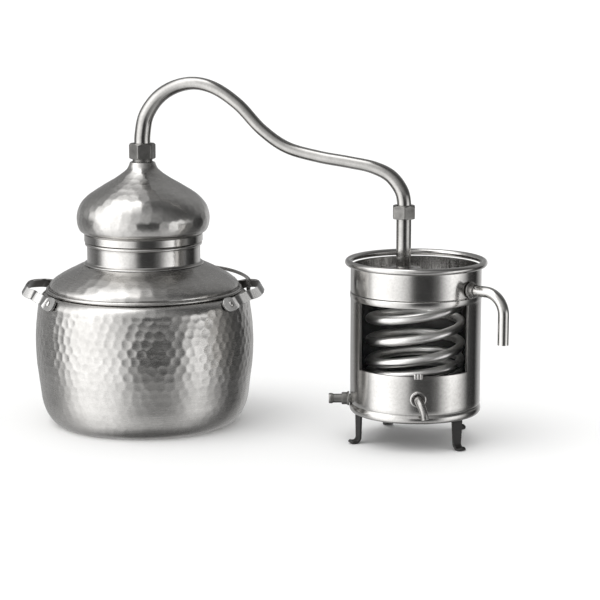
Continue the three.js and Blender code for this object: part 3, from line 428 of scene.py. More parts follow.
def lathe(name, profile, material, body, segments, node, centre_x=0.0,
    place=None, radius_at=None, press=None, pressed_rows=0, sharp=32, start=107.0, inside=None):
    """Revolve a closed or axis-ended profile of (radius, height). press(points) gives a height field.

    Only the first pressed_rows rows of the profile take the height field.
    radius_at(angle, radius, height) reshapes the section. inside = (material, test(radius, height, k)).
    """
    profile = [(max(r, 0.0), z) for r, z in profile]
    ring = profile[0][0] > 1e-6
    count = len(profile)
    row = segments + 1
    angles = radians(start) + linspace(0, 2 * pi, row)
    turns = np.array(profile)
    ahead = np.roll(turns, -1, 0) if ring else np.vstack([turns[1:], turns[-1:]])
    behind = np.roll(turns, 1, 0) if ring else np.vstack([turns[:1], turns[:-1]])
    tangent = ahead - behind
    tangent /= np.maximum(np.linalg.norm(tangent, axis=1), 1e-9)[:, None]
    area = sum(a[0] * b[1] - b[0] * a[1] for a, b in zip(profile, profile[1:] + profile[:1]))
    side = 1 if area > 0 else -1
    normal = np.stack([tangent[:, 1], -tangent[:, 0]], 1) * side
    length = np.concatenate([[0], np.cumsum(np.linalg.norm(np.diff(turns, axis=0), axis=1))])
    points, normals, uvs = [], [], []
    for k, (r, z) in enumerate(profile):
        for angle in angles:
            radius = radius_at(angle, r, z) if radius_at else r
            points.append((radius * cos(angle), radius * sin(angle), z))
            normals.append((normal[k, 0] * cos(angle), normal[k, 0] * sin(angle), normal[k, 1]))
            uvs.append(((angle - angles[0]) * max(r, 5), length[k]))
    points = np.array(points)
    if press is not None:
        taken = pressed_rows * row
        points[:taken] += np.array(normals)[:taken] * press(points[:taken])[:, None]
        wrap = np.arange(count) * row
        points[wrap + segments] = points[wrap]
    faces, marks = [], []
    for k in range(count if ring else count - 1):
        after = (k + 1) % count
        for j in range(segments):
            a, b = k * row + j, k * row + j + 1
            c, d = after * row + j + 1, after * row + j
            if profile[k][0] < 1e-6:
                faces.append((k * row, c, d))
            elif profile[after][0] < 1e-6:
                faces.append((a, b, after * row))
            else:
                faces.append((a, b, c, d))
            marks.append(1 if inside and inside[1](*profile[k], k) else 0)
    if place is not None:
        points = np.array([place @ Vector(p) for p in points])
    points += (centre_x, 0, 0)
    piece = build(name, points, faces, material, body, node, uvs, sharp, inside and inside[0], marks)
    weld(piece, sharp)


def weld(piece, sharp):
    """Join the seam of a revolved mesh, keeping its UVs, and mark sharp edges again."""
    work = bmesh.new()
    work.from_mesh(piece.data)
    bmesh.ops.remove_doubles(work, verts=work.verts, dist=1e-7)
    loose = [v for v in work.verts if not v.link_faces]
    bmesh.ops.delete(work, geom=loose, context="VERTS")
    mark_edges(work, sharp)
    work.to_mesh(piece.data)
    work.free()


def frames_along(points):
    """Side and across vectors at each point, carried along without twist."""
    tangents = [step.normalized() for step in directions(points)]
    seed = Vector((0, 1, 0)) if abs(tangents[0].y) < 0.9 else Vector((1, 0, 0))
    side = (seed - tangents[0] * seed.dot(tangents[0])).normalized()
    result = []
    for tangent in tangents:
        side = (side - tangent * side.dot(tangent)).normalized()
        result.append((side, tangent.cross(side)))
    return result


def pipe(name, path, radius, bore, material, body, node, sides):
    """Hollow tube along a path. radius(share) is its outside, bore(share) its inside."""
    points = [Vector(p) for p in path]
    frames = frames_along(points)
    distances = travel(points)
    verts, uvs, faces = [], [], []
    row = sides + 1
    count = len(points)
    for size_at in (radius, bore):
        for point, (side, across), travelled in zip(points, frames, distances):
            size = size_at(travelled / distances[-1])
            for j in range(row):
                turn = 2 * pi * j / sides
                verts.append(point + side * (size * cos(turn)) + across * (size * sin(turn)))
                uvs.append((turn * size, travelled))
    joined = [(k, k + 1) for k in range(2 * count - 1) if k != count - 1]
    for a, b in joined + [(0, count), (count - 1, 2 * count - 1)]:
        faces += [(a * row + j, a * row + j + 1, b * row + j + 1, b * row + j) for j in range(sides)]
    piece = build(name, [tuple(v) for v in verts], faces, material, body, node, uvs, 40)
    weld(piece, 40)


def loft_faces(sections, n):
    """Faces between closed sections of n points each, with both ends capped."""
    faces = [(k * n + j, k * n + (j + 1) % n, (k + 1) * n + (j + 1) % n, (k + 1) * n + j)
        for k in range(sections - 1) for j in range(n)]
    return faces + [tuple(range(n)), tuple((sections - 1) * n + j for j in range(n))]


def band(name, path, face_normals, half_width, thickness, material, body, node, place, inside=None):
    """Flat strap along a path. face_normals point out of its broad face; half_width(share) is its outline."""
    points = [Vector(p) for p in path]
    distances = travel(points)
    verts, uvs = [], []
    half = thickness / 2
    soft = thickness * 0.22
    count = len(points)
    for point, step, out, travelled in zip(points, directions(points), face_normals, distances):
        tangent = step.normalized()
        out = Vector(out)
        out = (out - tangent * out.dot(tangent)).normalized()
        wide = tangent.cross(out)
        w = max(half_width(travelled / distances[-1]), 0.3)
        section = [(w - soft, half), (w, half - soft), (w, soft - half), (w - soft, -half),
            (soft - w, -half), (-w, soft - half), (-w, half - soft), (soft - w, half)]
        for across, lift in section:
            verts.append(point + wide * across + out * lift)
            uvs.append((across, travelled))
    n = len(verts) // count
    faces = loft_faces(count, n)
    marks = [1 if k < n * (count - 1) and k % n in (1, 3, 5) else 0 for k in range(len(faces))]
    build(name, [tuple(place @ v) for v in verts], faces, material, body, node, uvs, 28, inside, marks)


# ---- hammer marks ----

def hammer_field(profile, pitch, depth, fade=None, jitter=0.16):
    """Height field of overlapping round hammer blows in staggered rows along a revolved profile."""
    line = np.array(resample(profile, pitch * 0.84))
    centres, depths = [], []
    for row, (radius, height) in enumerate(line):
        if radius < pitch:
            continue
        count = max(3, int(round(2 * pi * radius / pitch)))
        offset = (row % 2) * 0.5 + random.uniform(-0.1, 0.1)
        for k in range(count):
            angle = 2 * pi * (k + offset + random.uniform(-jitter, jitter)) / count
            centres.append((radius * cos(angle), radius * sin(angle),
                height + random.uniform(-jitter, jitter) * pitch))
            depths.append(depth * random.uniform(0.55, 1.35))
    tree = kdtree.KDTree(len(centres))
    for index, centre in enumerate(centres):
        tree.insert(centre, index)
    tree.balance()
    reach = pitch * 0.55
    blend = depth * 0.34

    def press(points):
        heights = np.zeros(len(points))
        for k, point in enumerate(points):
            near = tree.find_n(point, 3)
            low, high, _ = sorted(depths[i] * ((away / reach) ** 2 - 1) for _, i, away in near)
            mix = max(blend - (high - low), 0) / blend
            height = low - mix * mix * blend * 0.25
            heights[k] = min(height, 0.0) * (fade(point) if fade else 1.0)
        return heights

    return press


def wavy(depth, size, seed=0.0):
    """Height field of slow waves, as left in rolled and soldered sheet."""
    def press(points):
        scaled = points / size
        return np.array([lattice.noise(Vector(p) + Vector((seed, seed, seed))) for p in scaled]) * depth
    return press


def both(*fields):
    return lambda points: sum(field(points) for field in fields)


# ---- shapes shared by several pieces ----

def rounded(points, radius, steps=6):
    """Polyline with its corners rounded off."""
    points = [Vector(p) for p in points]
    result = [points[0]]
    for before, corner, after in zip(points, points[1:], points[2:]):
        first, second = before - corner, after - corner
        back = min(radius, first.length * 0.45, second.length * 0.45)
        a, b = corner + first.normalized() * back, corner + second.normalized() * back
        for k in range(steps + 1):
            t = k / steps
            result.append(a * (1 - t) ** 2 + corner * (2 * t * (1 - t)) + b * t ** 2)
    result.append(points[-1])
    return result


def polar(angle, distance, height, centre_x=0.0):
    turn = radians(angle)
    return (centre_x + distance * cos(turn), distance * sin(turn), height)


def outward(angle, height, radius=0.0, lean=0.0, centre_x=0.0):
    """Placing matrix that turns a shape made about +Z to point outward at an angle, and up by the lean."""
    turn = Matrix.Rotation(radians(angle), 4, "Z") @ Matrix.Rotation(radians(90 - lean), 4, "Y")
    return Matrix.Translation(polar(angle, radius, height, centre_x)) @ turn


RIVET_HEAD, RIVET_SHANK, RIVET_DOME = 3.1, 1.4, 1.9


def rivet(name, clench, seat, place, node, material):
    """Rivet about +Z, with a flat clench head up to one height and a domed head from its seat."""
    tail = RIVET_HEAD - 0.5
    profile = [(0, clench - 1.4), (tail - 0.4, clench - 1.4), (tail, clench - 0.9), (tail, clench),
        (RIVET_SHANK, clench), (RIVET_SHANK, seat), (RIVET_HEAD - 0.1, seat)]
    profile += [(RIVET_HEAD * cos(t), seat + 0.3 + (RIVET_DOME - 0.3) * sin(t))
        for t in linspace(0, pi / 2, 8)]
    lathe(name, profile, material, BASE, 32, node, place=place, sharp=50)


def hex_nut(name, node, corner, corner_angle, bottom, top, thread, shoulder, hole, centre_x=0.0):
    """Union nut: hexagon with both ends turned to a chamfer, threaded bore and a narrower top hole."""
    apothem = corner * cos(pi / 6)
    rim = corner - 1.6
    rows = [bottom] + list(linspace(bottom + 0.01, bottom + 1.1, 6)) + [top - 2.4]
    rows += list(linspace(top - 2.2, top, 12))
    profile = [(thread, bottom), (rim, bottom)] + [(corner, z) for z in rows[1:]]
    profile += [(hole + 0.9, top), (hole, top - 0.6), (hole, shoulder), (thread, shoulder)]

    def outline(angle, radius, height):
        if radius < corner - 0.01:
            return radius
        local = (degrees(angle) - corner_angle) % 60 - 30
        flat = apothem / cos(radians(local))
        lower = rim + (height - bottom) * 1.6
        upper = rim + (top - height) * 0.95
        return min(flat, lower, upper, corner - 0.25)

    lathe(name, profile, nut_metal, node, 96, node, centre_x=centre_x, radius_at=outline,
        start=corner_angle, sharp=24)


def shell_grid(name, outer, inner, angles, material, node, hole=None, closed=True,
    wave=None, inside=None):
    """Curved sheet of the tub between matching outer and inner rows of (radius, height).

    hole gives the first and last row, then the first and last column, of the cells left out.
    """
    rows, columns = len(outer), len(angles)
    spans = columns if closed else columns - 1
    verts, uvs, faces, marks = [], [], [], []
    for radius, height in outer + inner:
        for angle in angles:
            turn = radians(angle)
            bulge = wave(radius * cos(turn), radius * sin(turn), height) if wave else 0
            verts.append(polar(angle, radius + bulge, height, TUB_X))
            uvs.append((turn * radius, height))

    def in_grid(row, column):
        return 0 <= row < rows - 1 and (closed or 0 <= column < spans)

    def in_hole(row, column):
        return bool(hole) and hole[0] <= row < hole[1] and hole[2] <= column % columns < hole[3]

    for row in range(rows - 1):
        for column in range(spans):
            if in_hole(row, column):
                continue
            corners = [(row, column), (row, column + 1), (row + 1, column + 1), (row + 1, column)]
            front = [r * columns + c % columns for r, c in corners]
            back = [rows * columns + corner for corner in front]
            faces += [front, back]
            marks += [0, 1]
            around = [(row - 1, column), (row, column + 1), (row + 1, column), (row, column - 1)]
            for k, cell in enumerate(around):
                if in_hole(*cell) or not in_grid(*cell):
                    faces.append((front[k], front[k - 3], back[k - 3], back[k]))
                    marks.append(int(in_hole(*cell)))
    build(name, verts, faces, material, BASE, node, uvs, inside=inside, marks=marks)


def ring_band(name, inner, outer, bottom, top, material, body, node, segments=48,
    centre_x=0.0, soft=0.3):
    """Plain ring with its four edges eased."""
    profile = [(inner, bottom + soft), (inner + soft, bottom), (outer - soft, bottom), (outer, bottom + soft)]
    rows = max(2, int((top - bottom) / 3))
    profile += [(outer, z) for z in linspace(bottom + soft, top - soft, rows + 1)[1:]]
    profile += [(outer - soft, top), (inner + soft, top), (inner, top - soft)]
    lathe(name, profile, material, body, segments, node, centre_x=centre_x, sharp=50)


# ---- pot ----

BASE_RADIUS, CORNER_WIDTH, CORNER_HEIGHT = 85.5, 20.8, 41
BELLY_RADIUS, BELLY_HEIGHT = 110.5, 79
RIM_RADIUS, RIM_HEIGHT, SHOULDER_RADIUS, SHOULDER_BOTTOM = 97, 134, 107.2, 122
MOUTH_RADIUS = 93


def pot_wall(inset):
    corner = arc(BASE_RADIUS, CORNER_HEIGHT, CORNER_WIDTH - inset, CORNER_HEIGHT - inset, -90, -20, 20)
    bellied = BELLY_RADIUS - inset
    belly = spline([corner[-2], corner[-1], (bellied - 3.5, 42), (bellied - 1.1, 60), (bellied, BELLY_HEIGHT),
        (bellied - 0.9, 102), (SHOULDER_RADIUS - inset, SHOULDER_BOTTOM)], 1.0)
    shoulder = arc(RIM_RADIUS, SHOULDER_BOTTOM, SHOULDER_RADIUS - RIM_RADIUS - inset,
        RIM_HEIGHT - SHOULDER_BOTTOM - inset, 0, 90, 18)
    return corner[:-2] + belly[:-1] + shoulder


def make_pot():
    outer = resample([(1, 0), (40, 0)] + pot_wall(0), 1)
    outer = [(0, 0)] + outer
    inner = resample(pot_wall(SHEET), 5)
    inner.reverse()
    lip = [(MOUTH_RADIUS + 2, RIM_HEIGHT), (MOUTH_RADIUS + 0.4, RIM_HEIGHT), (MOUTH_RADIUS, RIM_HEIGHT - 0.4),
        (MOUTH_RADIUS, RIM_HEIGHT - SHEET)]
    profile = outer + lip + inner + [(40, SHEET), (0, SHEET)]

    def fade(point):
        height = point[2]
        rising = min(max((height - 36) / 40, 0), 1)
        falling = min(max((RIM_HEIGHT - 1.5 - height) / 9, 0), 1)
        return (0.22 * min(height / 6, 1) + 0.78 * rising) * falling

    blows = hammer_field(pot_wall(0), 9.6, 0.36, fade)
    # The pot's inner wall takes the dark copy of the steel: painted shade.
    lathe("pot", profile, hammered, BASE, 600, "pot_shell",
        press=both(blows, wavy(0.35, 38, 5)), pressed_rows=len(outer),
        inside=(shaded_inside, lambda r, z, k: k >= len(outer) + 3))


# Handles: half of the strap in plan from the pot axis, and its height by the distance from that axis.
TAB_ANGLE, TAB_HEIGHT, TAB_RADIUS = 33, 129.6, 106.8
TAB_HALF, TAB_BACK, TAB_FRONT = 7.2, 11.5, 7.5
STRAP_HALF, STRAP_THICK, STRAP_LEAN = 4.95, 2.0, 30
STRAP_BENDS = [(97.3, 47.5), (107.3, 37)]
STRAP_RISE = ([93.5, 95, 100, 107.5, 121], [129.6, 131, 133.2, 135.3, 137.5])
NEAR_BULGE, FAR_BULGE, FAR_BEND = 1.7, 2.4, 1.7
TAB_CLENCH, REAR_CLENCH = -4.1, -5.9
HANDLES = {"right": (17, 119), "left": (197, 120.5)}


def make_handle(name, node, direction, reach):
    """Strap in two bulging lobes a side with a crease between, leaning so that its outer face looks up."""
    tab_x, tab_y, _ = polar(TAB_ANGLE, TAB_RADIUS, 0)
    along = (sin(radians(TAB_ANGLE)), -cos(radians(TAB_ANGLE)))
    half = [(tab_x + d * along[0], tab_y + d * along[1]) for d in (-TAB_BACK, TAB_FRONT)]
    half += STRAP_BENDS + [(reach - FAR_BEND, 17), (reach - 0.4, 8)]
    plan = half + [(x, -y) for x, y in reversed(half)]
    flat = resample(rounded([(x, y, 0) for x, y in plan], 2.2), 0.6)
    near, crease, far = STRAP_BENDS[0][0], STRAP_BENDS[1][0], reach - FAR_BEND
    lean = radians(STRAP_LEAN)
    path, normals = [], []
    for (x, y, _), step in zip(flat, directions(flat)):
        away = Vector((-step.y, step.x, 0)).normalized()
        bulge = 0
        if near < x <= crease:
            bulge = NEAR_BULGE * sin(pi * (x - near) / (crease - near))
        elif crease < x < far:
            bulge = FAR_BULGE * sin(pi * (x - crease) / (far - crease))
        path.append(Vector((x, y, float(np.interp(x, *STRAP_RISE)))) + away * bulge)
        normals.append(away * cos(lean) + Vector((0, 0, sin(lean))))
    total = travel(path)[-1]

    def outline(share):
        end = min(share, 1 - share) * total
        if end < TAB_HALF:
            return sqrt(max(TAB_HALF ** 2 - (TAB_HALF - end) ** 2, 0))
        return TAB_HALF + (STRAP_HALF - TAB_HALF) * min(max((end - 14) / 8, 0), 1)

    # The strap's edges and underside take the dark copy of its steel, painted shade.
    band(name, path, normals, outline, STRAP_THICK, handle_metal, BASE, node,
        Matrix.Rotation(radians(direction), 4, "Z"), handle_painted_shade)


REAR_START, REAR_END, REAR_RADIUS = 29, 117, 108.5
REAR_EDGE, REAR_ARCH, REAR_DEPTH = 142.3, 3.6, 3.1
REAR_TAB_SPAN, REAR_TAB_BLEND, REAR_TAB_FOOT, REAR_RIVET_HEIGHT = 5, 1.5, 122.5, 126


def make_rear_strap():
    """Thin strap standing on edge behind the cover, with a tab turned down to the pot at each end."""
    angles = linspace(REAR_START, REAR_END, 100)
    inner, outer = REAR_RADIUS - STRAP_THICK / 2, REAR_RADIUS + STRAP_THICK / 2
    verts, uvs = [], []
    for angle in angles:
        from_end = min(angle - REAR_START, REAR_END - angle)
        share = (angle - REAR_START) / (REAR_END - REAR_START)
        top = REAR_EDGE + REAR_ARCH * sin(pi * share) ** 0.8
        depth = REAR_DEPTH
        if from_end < REAR_TAB_SPAN:
            depth = top - REAR_TAB_FOOT
        elif from_end < REAR_TAB_SPAN + REAR_TAB_BLEND:
            past = (from_end - REAR_TAB_SPAN) / REAR_TAB_BLEND
            depth += (top - REAR_TAB_FOOT - REAR_DEPTH) * (1 - past) ** 2
        section = [(outer, top - 0.3), (outer, top - depth), (inner, top - depth), (inner, top - 0.3),
            (inner + 0.4, top), (outer - 0.4, top)]
        verts += [polar(angle, r, z) for r, z in section]
        uvs += [(radians(angle) * r, z) for r, z in section]
    build("rear_strap", verts, loft_faces(len(angles), 6), fitting, BASE, "handle_rear_strap",
        uvs)


def make_pot_fittings():
    tabs = []
    for side, (direction, reach) in HANDLES.items():
        make_handle(f"{side}_handle", f"handle_{side}", direction, reach)
        front = -TAB_ANGLE if side == "right" else TAB_ANGLE
        tabs += [(f"{side}_front", direction + front), (f"{side}_rear", direction - front)]
    make_rear_strap()
    seat = STRAP_THICK / 2 + GAP
    for name, angle in tabs:
        rivet(f"pot_rivet_{name}", TAB_CLENCH, seat, outward(angle, TAB_HEIGHT, TAB_RADIUS, STRAP_LEAN),
            f"rivet_{name}", strap_metal)
    middle = REAR_TAB_SPAN / 2
    for name, angle in (("rear_a", REAR_START + middle), ("rear_b", REAR_END - middle)):
        rivet(f"pot_rivet_{name}", REAR_CLENCH, seat, outward(angle, REAR_RIVET_HEIGHT, REAR_RADIUS),
            f"rivet_{name}", strap_metal)


# ---- cover, collar and head ----

DOME_EDGE, DOME_FULLEST, COVER_SEAT = (96.3, 137.7), (99, 145.8), (61.5, 162.2)
COVER_HOLE, LIP_INSIDE, LIP_RADIUS, LIP_BOTTOM = 54, 91.2, 92.6, 127
COLLAR_RADIUS, COLLAR_SHEET, COLLAR_FOOT, COLLAR_TOP = 57, 1.7, 162.5, 182.8


def dome(inset, steps):
    """Curve from the cover's edge to the collar's seat, pulled towards its fullest corner."""
    a = (DOME_EDGE[0] - 2.6 * inset, DOME_EDGE[1] - 0.2 * inset)
    b = (DOME_FULLEST[0] - 1.6 * inset, DOME_FULLEST[1] - 0.2 * inset)
    c = (COVER_SEAT[0] - 0.9 * inset, COVER_SEAT[1] - inset)
    return [tuple(a[i] * (1 - t) ** 2 + b[i] * 2 * t * (1 - t) + c[i] * t * t for i in (0, 1))
        for t in linspace(0, 1, steps)]


def make_cover():
    skin = dome(0, 34)
    seat = COVER_SEAT[1]
    profile = skin + [(COLLAR_RADIUS, seat + 0.02), (COVER_HOLE, seat), (COVER_HOLE, seat - SHEET)]
    profile += list(reversed(dome(SHEET, 12)))
    profile += [(LIP_INSIDE, 136.6), (LIP_INSIDE, LIP_BOTTOM), (LIP_RADIUS, LIP_BOTTOM), (LIP_RADIUS, 134.5)]
    profile += arc(97.4, 136.2, 1.7, 1.7, -90, 90, 12)
    blows = hammer_field(skin, 14, 0.32)
    lathe("cover_dome", profile, satin, COVER, 300, "cover",
        press=both(blows, wavy(0.5, 30, 2)), pressed_rows=len(skin))


def make_collar():
    inner = COLLAR_RADIUS - COLLAR_SHEET
    wall = [(COLLAR_RADIUS, z) for z in linspace(COLLAR_FOOT + 2.3, COLLAR_TOP - 1.9, 14)]
    bead = arc(COLLAR_RADIUS + 0.2, COLLAR_TOP, 1.9, 1.9, -60, 180, 14)
    solder = arc(COLLAR_RADIUS + 0.2, COLLAR_FOOT, 3.2, 1.5, 0, 80, 6)
    solder += [(COLLAR_RADIUS + 0.3, COLLAR_FOOT + 1.7)]
    back = [(inner, COLLAR_TOP - 2), (inner, COLLAR_FOOT + 1.7), (inner - 0.6, COLLAR_FOOT + 1.2),
        (inner - 0.6, COLLAR_FOOT)]
    lathe("collar_ring", wall + bead + back + solder, turned, COVER, 240, "collar",
        press=wavy(0.16, 26, 9), pressed_rows=len(wall))


SPIGOT_INSIDE, SPIGOT_RADIUS, SPIGOT_BOTTOM, SPIGOT_TOP = 53.3, 54.8, 168, 192.4
SKIRT_INSIDE, SKIRT_RADIUS, SKIRT_BOTTOM, SKIRT_TOP = 55.2, 59.6, 185.3, 192.6
ONION = [(59.3, 192.9), (64.2, 197), (66.8, 208), (64.2, 220), (56.6, 230), (42, 240), (24.6, 250.5),
    (15.2, 258.5), (12.6, 264.5)]
ONION_TOP_HOLE = 11.1


def make_head():
    ring_band("spigot", SPIGOT_INSIDE, SPIGOT_RADIUS, SPIGOT_BOTTOM, SPIGOT_TOP, turned, HEAD, "head_spigot",
        segments=160)
    skirt = [(SKIRT_RADIUS, z) for z in linspace(SKIRT_BOTTOM + 0.3, SKIRT_TOP - 0.4, 8)]
    ends = [(SKIRT_INSIDE, SKIRT_BOTTOM), (SKIRT_RADIUS - 0.3, SKIRT_BOTTOM)]
    lathe("skirt", ends + skirt + [(SKIRT_RADIUS - 0.3, SKIRT_TOP), (SKIRT_INSIDE, SKIRT_TOP)], turned, HEAD,
        240, "head_skirt", press=wavy(0.12, 30, 4), pressed_rows=8)
    outer = spline(ONION, 1)
    tangents = [(b[0] - a[0], b[1] - a[1]) for a, b in zip(outer, outer[1:] + outer[-1:])]
    tangents[-1] = tangents[-2]
    inner = []
    for (r, z), (dr, dz) in zip(outer[2::5], tangents[2::5]):
        size = hypot(dr, dz)
        inner.append((max(r - SHEET * dz / size, ONION_TOP_HOLE), z + SHEET * dr / size))
    inner = [(outer[0][0] - SHEET, outer[0][1])] + inner + [(ONION_TOP_HOLE, ONION[-1][1])]

    def fade(point):
        return min(max((point[2] - 195) / 8, 0), 1)

    blows = hammer_field(ONION, 10, 0.17, fade)
    lathe("onion", outer + list(reversed(inner)), glossy, HEAD, 480,
        "onion_head", press=both(blows, wavy(0.3, 24, 7)), pressed_rows=len(outer))
    ring_band("vapour_tube", 7, 10, 258, 274, nut_metal, HEAD, "vapour_stub")


# ---- neck ----

UNION_X = 270.5
NECK_START, NECK_END = 274.5, 226.2
NECK_RADIUS, NECK_BORE = 8.2, 6.7
NECK_KNOTS = [(0, NECK_START), (0, 284), (0.3, 291), (4.4, 310.6), (17.4, 329), (35, 340), (56, 344.2),
    (77, 339.7), (101.4, 324.3), (126, 300), (151, 283.8), (184, 275.4), (216, 270.8), (240, 266.4),
    (257, 258.5), (268, 244.5), (UNION_X, 234), (UNION_X, NECK_END)]
NECK_TAPER = ([0, 0.07, 0.28, 0.5, 0.82, 0.92, 1], [1, 0.97, 0.77, 0.71, 0.72, 0.83, 0.84])


def make_neck():
    path = [(x, 0, z) for x, z in spline(NECK_KNOTS, 1.6)]

    def scale(share):
        return float(np.interp(share, *NECK_TAPER))

    pipe("neck_tube", path, lambda s: NECK_RADIUS * scale(s), lambda s: NECK_BORE * scale(s), drawn, NECK,
        "swan_neck", 40)
    ring_band("neck_ferrule_head", 8.5, 9.9, NECK_START, NECK_START + 2, nut_metal, NECK, "head_ferrule")
    ring_band("neck_ferrule_coil", 7.25, 8.6, NECK_END, NECK_END + 1.9, nut_metal, NECK, "coil_ferrule",
        centre_x=UNION_X)
    hex_nut("union_nut_head", "head_nut", 13.75, -28, 267.9, 283.2, 10.4, NECK_START + 2.4, 8.75)
    hex_nut("union_nut_coil", "coil_nut", 12, -13, 217.8, 230.8, 8.95, NECK_END + 2.3, 7.5, UNION_X)


# ---- condenser tub ----

TUB_RADIUS, TUB_INSIDE, TUB_BOTTOM, TUB_TOP = 63.5, 62.2, 28.9, 172.5
HEM_INSIDE, HEM_FOLD = 60.2, 31.5
FLOOR_RADIUS, FLOOR_HEIGHT = 61.6, 32.2
RIM_BEAD_RADIUS, RIM_BEAD_HEIGHT, RIM_BEAD_SIZE, RIM_BEAD_BORE = 65.8, 176.1, 3.2, 2.2
WINDOW_START, WINDOW_END, WINDOW_BOTTOM, WINDOW_TOP = -134, -24, 75.4, 141
WINDOW_COLUMNS, WINDOW_ROWS = 66, 22
SPOUT_ANGLE, SPOUT_HEIGHT, SPOUT_SWAY = -73.5, 53.9, 4.2
CLIP_HALF = 3.6


def slow_wave(depth, seed):
    def wave(x, y, z):
        return depth * lattice.noise(Vector((x / 34 + seed, y / 34, z / 60)))
    return wave


def make_tub():
    angles = list(linspace(WINDOW_START, WINDOW_END, WINDOW_COLUMNS + 1))
    angles += list(linspace(WINDOW_END, WINDOW_START + 360, 151))[1:-1]
    low = [(61.5, TUB_BOTTOM), (62.6, 29.4), (63.5, 30.4), (64, 31.8), (64.15, 33.2), (64, 34.8),
        (63.6, 36.2), (63, 37), (62.9, 37.7), (63.2, 38.3), (TUB_RADIUS, 39.2)]
    low += [(TUB_RADIUS, z) for z in linspace(42, 72, 11)]
    opening = [(TUB_RADIUS, z) for z in linspace(WINDOW_BOTTOM, WINDOW_TOP, WINDOW_ROWS + 1)]
    high = [(63.75, 141.7), (64, 142.5), (64.05, 144.5), (64.0, 146.3), (63.6, 146.8)]
    outer = low + opening + high
    inner = [(TUB_INSIDE if z > HEM_FOLD else HEM_INSIDE + (z - TUB_BOTTOM) * 0.77, z) for _, z in outer]
    first = len(low)
    hole = (first, first + WINDOW_ROWS, 0, WINDOW_COLUMNS)
    # Inner faces and the window's cut edges take the dark copy of the steel: painted shade.
    shell_grid("tub", outer, inner, angles, turned, "tub_wall", hole=hole, wave=slow_wave(0.14, 3),
        inside=shaded_inside)
    upper = [(63.2, 147.5), (TUB_RADIUS, 147.9)]
    upper += [(TUB_RADIUS, z) for z in linspace(149.5, TUB_TOP, 10)]
    shell_grid("tub_top_band", upper, [(TUB_INSIDE, z) for _, z in upper], angles, turned, "tub_upper_band",
        wave=slow_wave(0.14, 11), inside=dull)
    bead = arc(RIM_BEAD_RADIUS, RIM_BEAD_HEIGHT, RIM_BEAD_SIZE, RIM_BEAD_SIZE, -90, 225, 22)
    bead += arc(RIM_BEAD_RADIUS, RIM_BEAD_HEIGHT, RIM_BEAD_BORE, RIM_BEAD_BORE, 225, -90, 16)
    lathe("tub_rim_bead", bead, turned, BASE, 200, "tub_rim", centre_x=TUB_X, sharp=60)
    plate = [(0, FLOOR_HEIGHT), (FLOOR_RADIUS - 0.6, FLOOR_HEIGHT), (FLOOR_RADIUS, FLOOR_HEIGHT + 0.4),
        (FLOOR_RADIUS, FLOOR_HEIGHT + SHEET), (0, FLOOR_HEIGHT + SHEET)]
    # The tub floor is painted in the dark copy of the steel: painted shade.
    lathe("tub_base_plate", plate, shaded_inside, BASE, 96, "tub_floor", centre_x=TUB_X)


def make_window():
    start, end = WINDOW_START - 4.5, WINDOW_END + 4.5
    bottom, top = WINDOW_BOTTOM - 5, WINDOW_TOP + 5
    heights = list(linspace(bottom, top, 8))
    shell_grid("window_pane", [(60.6, z) for z in heights], [(58.8, z) for z in heights],
        list(linspace(start, end, 60)), glass, "sight_glass", closed=False)
    columns = [start, WINDOW_START] + list(linspace(WINDOW_START, WINDOW_END, 50))[1:] + [end]
    heights = [bottom, WINDOW_BOTTOM] + list(linspace(WINDOW_BOTTOM, WINDOW_TOP, 5))[1:] + [top]
    shell_grid("window_seal", [(61.85, z) for z in heights], [(60.95, z) for z in heights], columns, rubber,
        "glass_seal", (1, 5, 1, 50), closed=False)
    clip = [(64.6, 73.4), (65.0, 74.2), (65.05, 75.6), (64.9, 77.2), (64.5, 78.4)]

    def bumps(x, y, z):
        from_start = degrees(atan2(y, x)) - SPOUT_ANGLE + CLIP_HALF
        return 0.8 * abs(sin(radians(from_start * 75))) if hypot(x, y) > 64.3 else 0

    shell_grid("window_clip", clip, [(63.8, z) for _, z in clip],
        list(linspace(SPOUT_ANGLE - CLIP_HALF, SPOUT_ANGLE + CLIP_HALF, 25)), fitting, "glass_clip",
        closed=False, wave=bumps)


LEG_TOP, LEG_SHIN, LEG_CURL, LEG_THICK, LEG_RIVET_RADIUS = 31.9, 58.3, 5.2, 3.0, 50
LEG_OUTLINE = ([0, 0.32, 0.62, 0.8, 1], [6.6, 6.6, 5.6, 4.8, 4.8])


def make_legs():
    half = LEG_THICK / 2
    foot = (LEG_CURL + half) * cos(radians(18))
    line = [(45, LEG_TOP - half), (LEG_SHIN - 3, LEG_TOP - half), (LEG_SHIN - 0.6, LEG_TOP - 2.6),
        (LEG_SHIN, LEG_TOP - 5)]
    line += [(LEG_SHIN + LEG_CURL + LEG_CURL * cos(t), foot + LEG_CURL * sin(t))
        for t in linspace(pi, 1.8 * pi, 25)]
    path = [(x, 0, max(z, half)) for x, z in resample(line, 0.6)]
    normals = [(step.z, 0, -step.x) for step in directions(path)]
    total = travel(path)[-1]

    def outline(share):
        end = (1 - share) * total
        tip = sqrt(max(1 - (1 - min(end / 4, 1)) ** 2, 0))
        return float(np.interp(share, *LEG_OUTLINE)) * max(tip, 0.35)

    for k, angle in enumerate((-145, -32, 57, 129), 1):
        place = Matrix.Translation((TUB_X, 0, 0)) @ Matrix.Rotation(radians(angle), 4, "Z")
        band(f"tub_leg_{k}", path, normals, outline, LEG_THICK, iron, BASE, f"leg_{k}",
            place)
        spot = Matrix.Translation(polar(angle, LEG_RIVET_RADIUS, 0, TUB_X))
        rivet(f"tub_leg_rivet_{k}", LEG_TOP - LEG_THICK - GAP, FLOOR_HEIGHT + SHEET + GAP, spot,
            f"leg_rivet_{k}", iron)


# ---- coil and plumbing ----

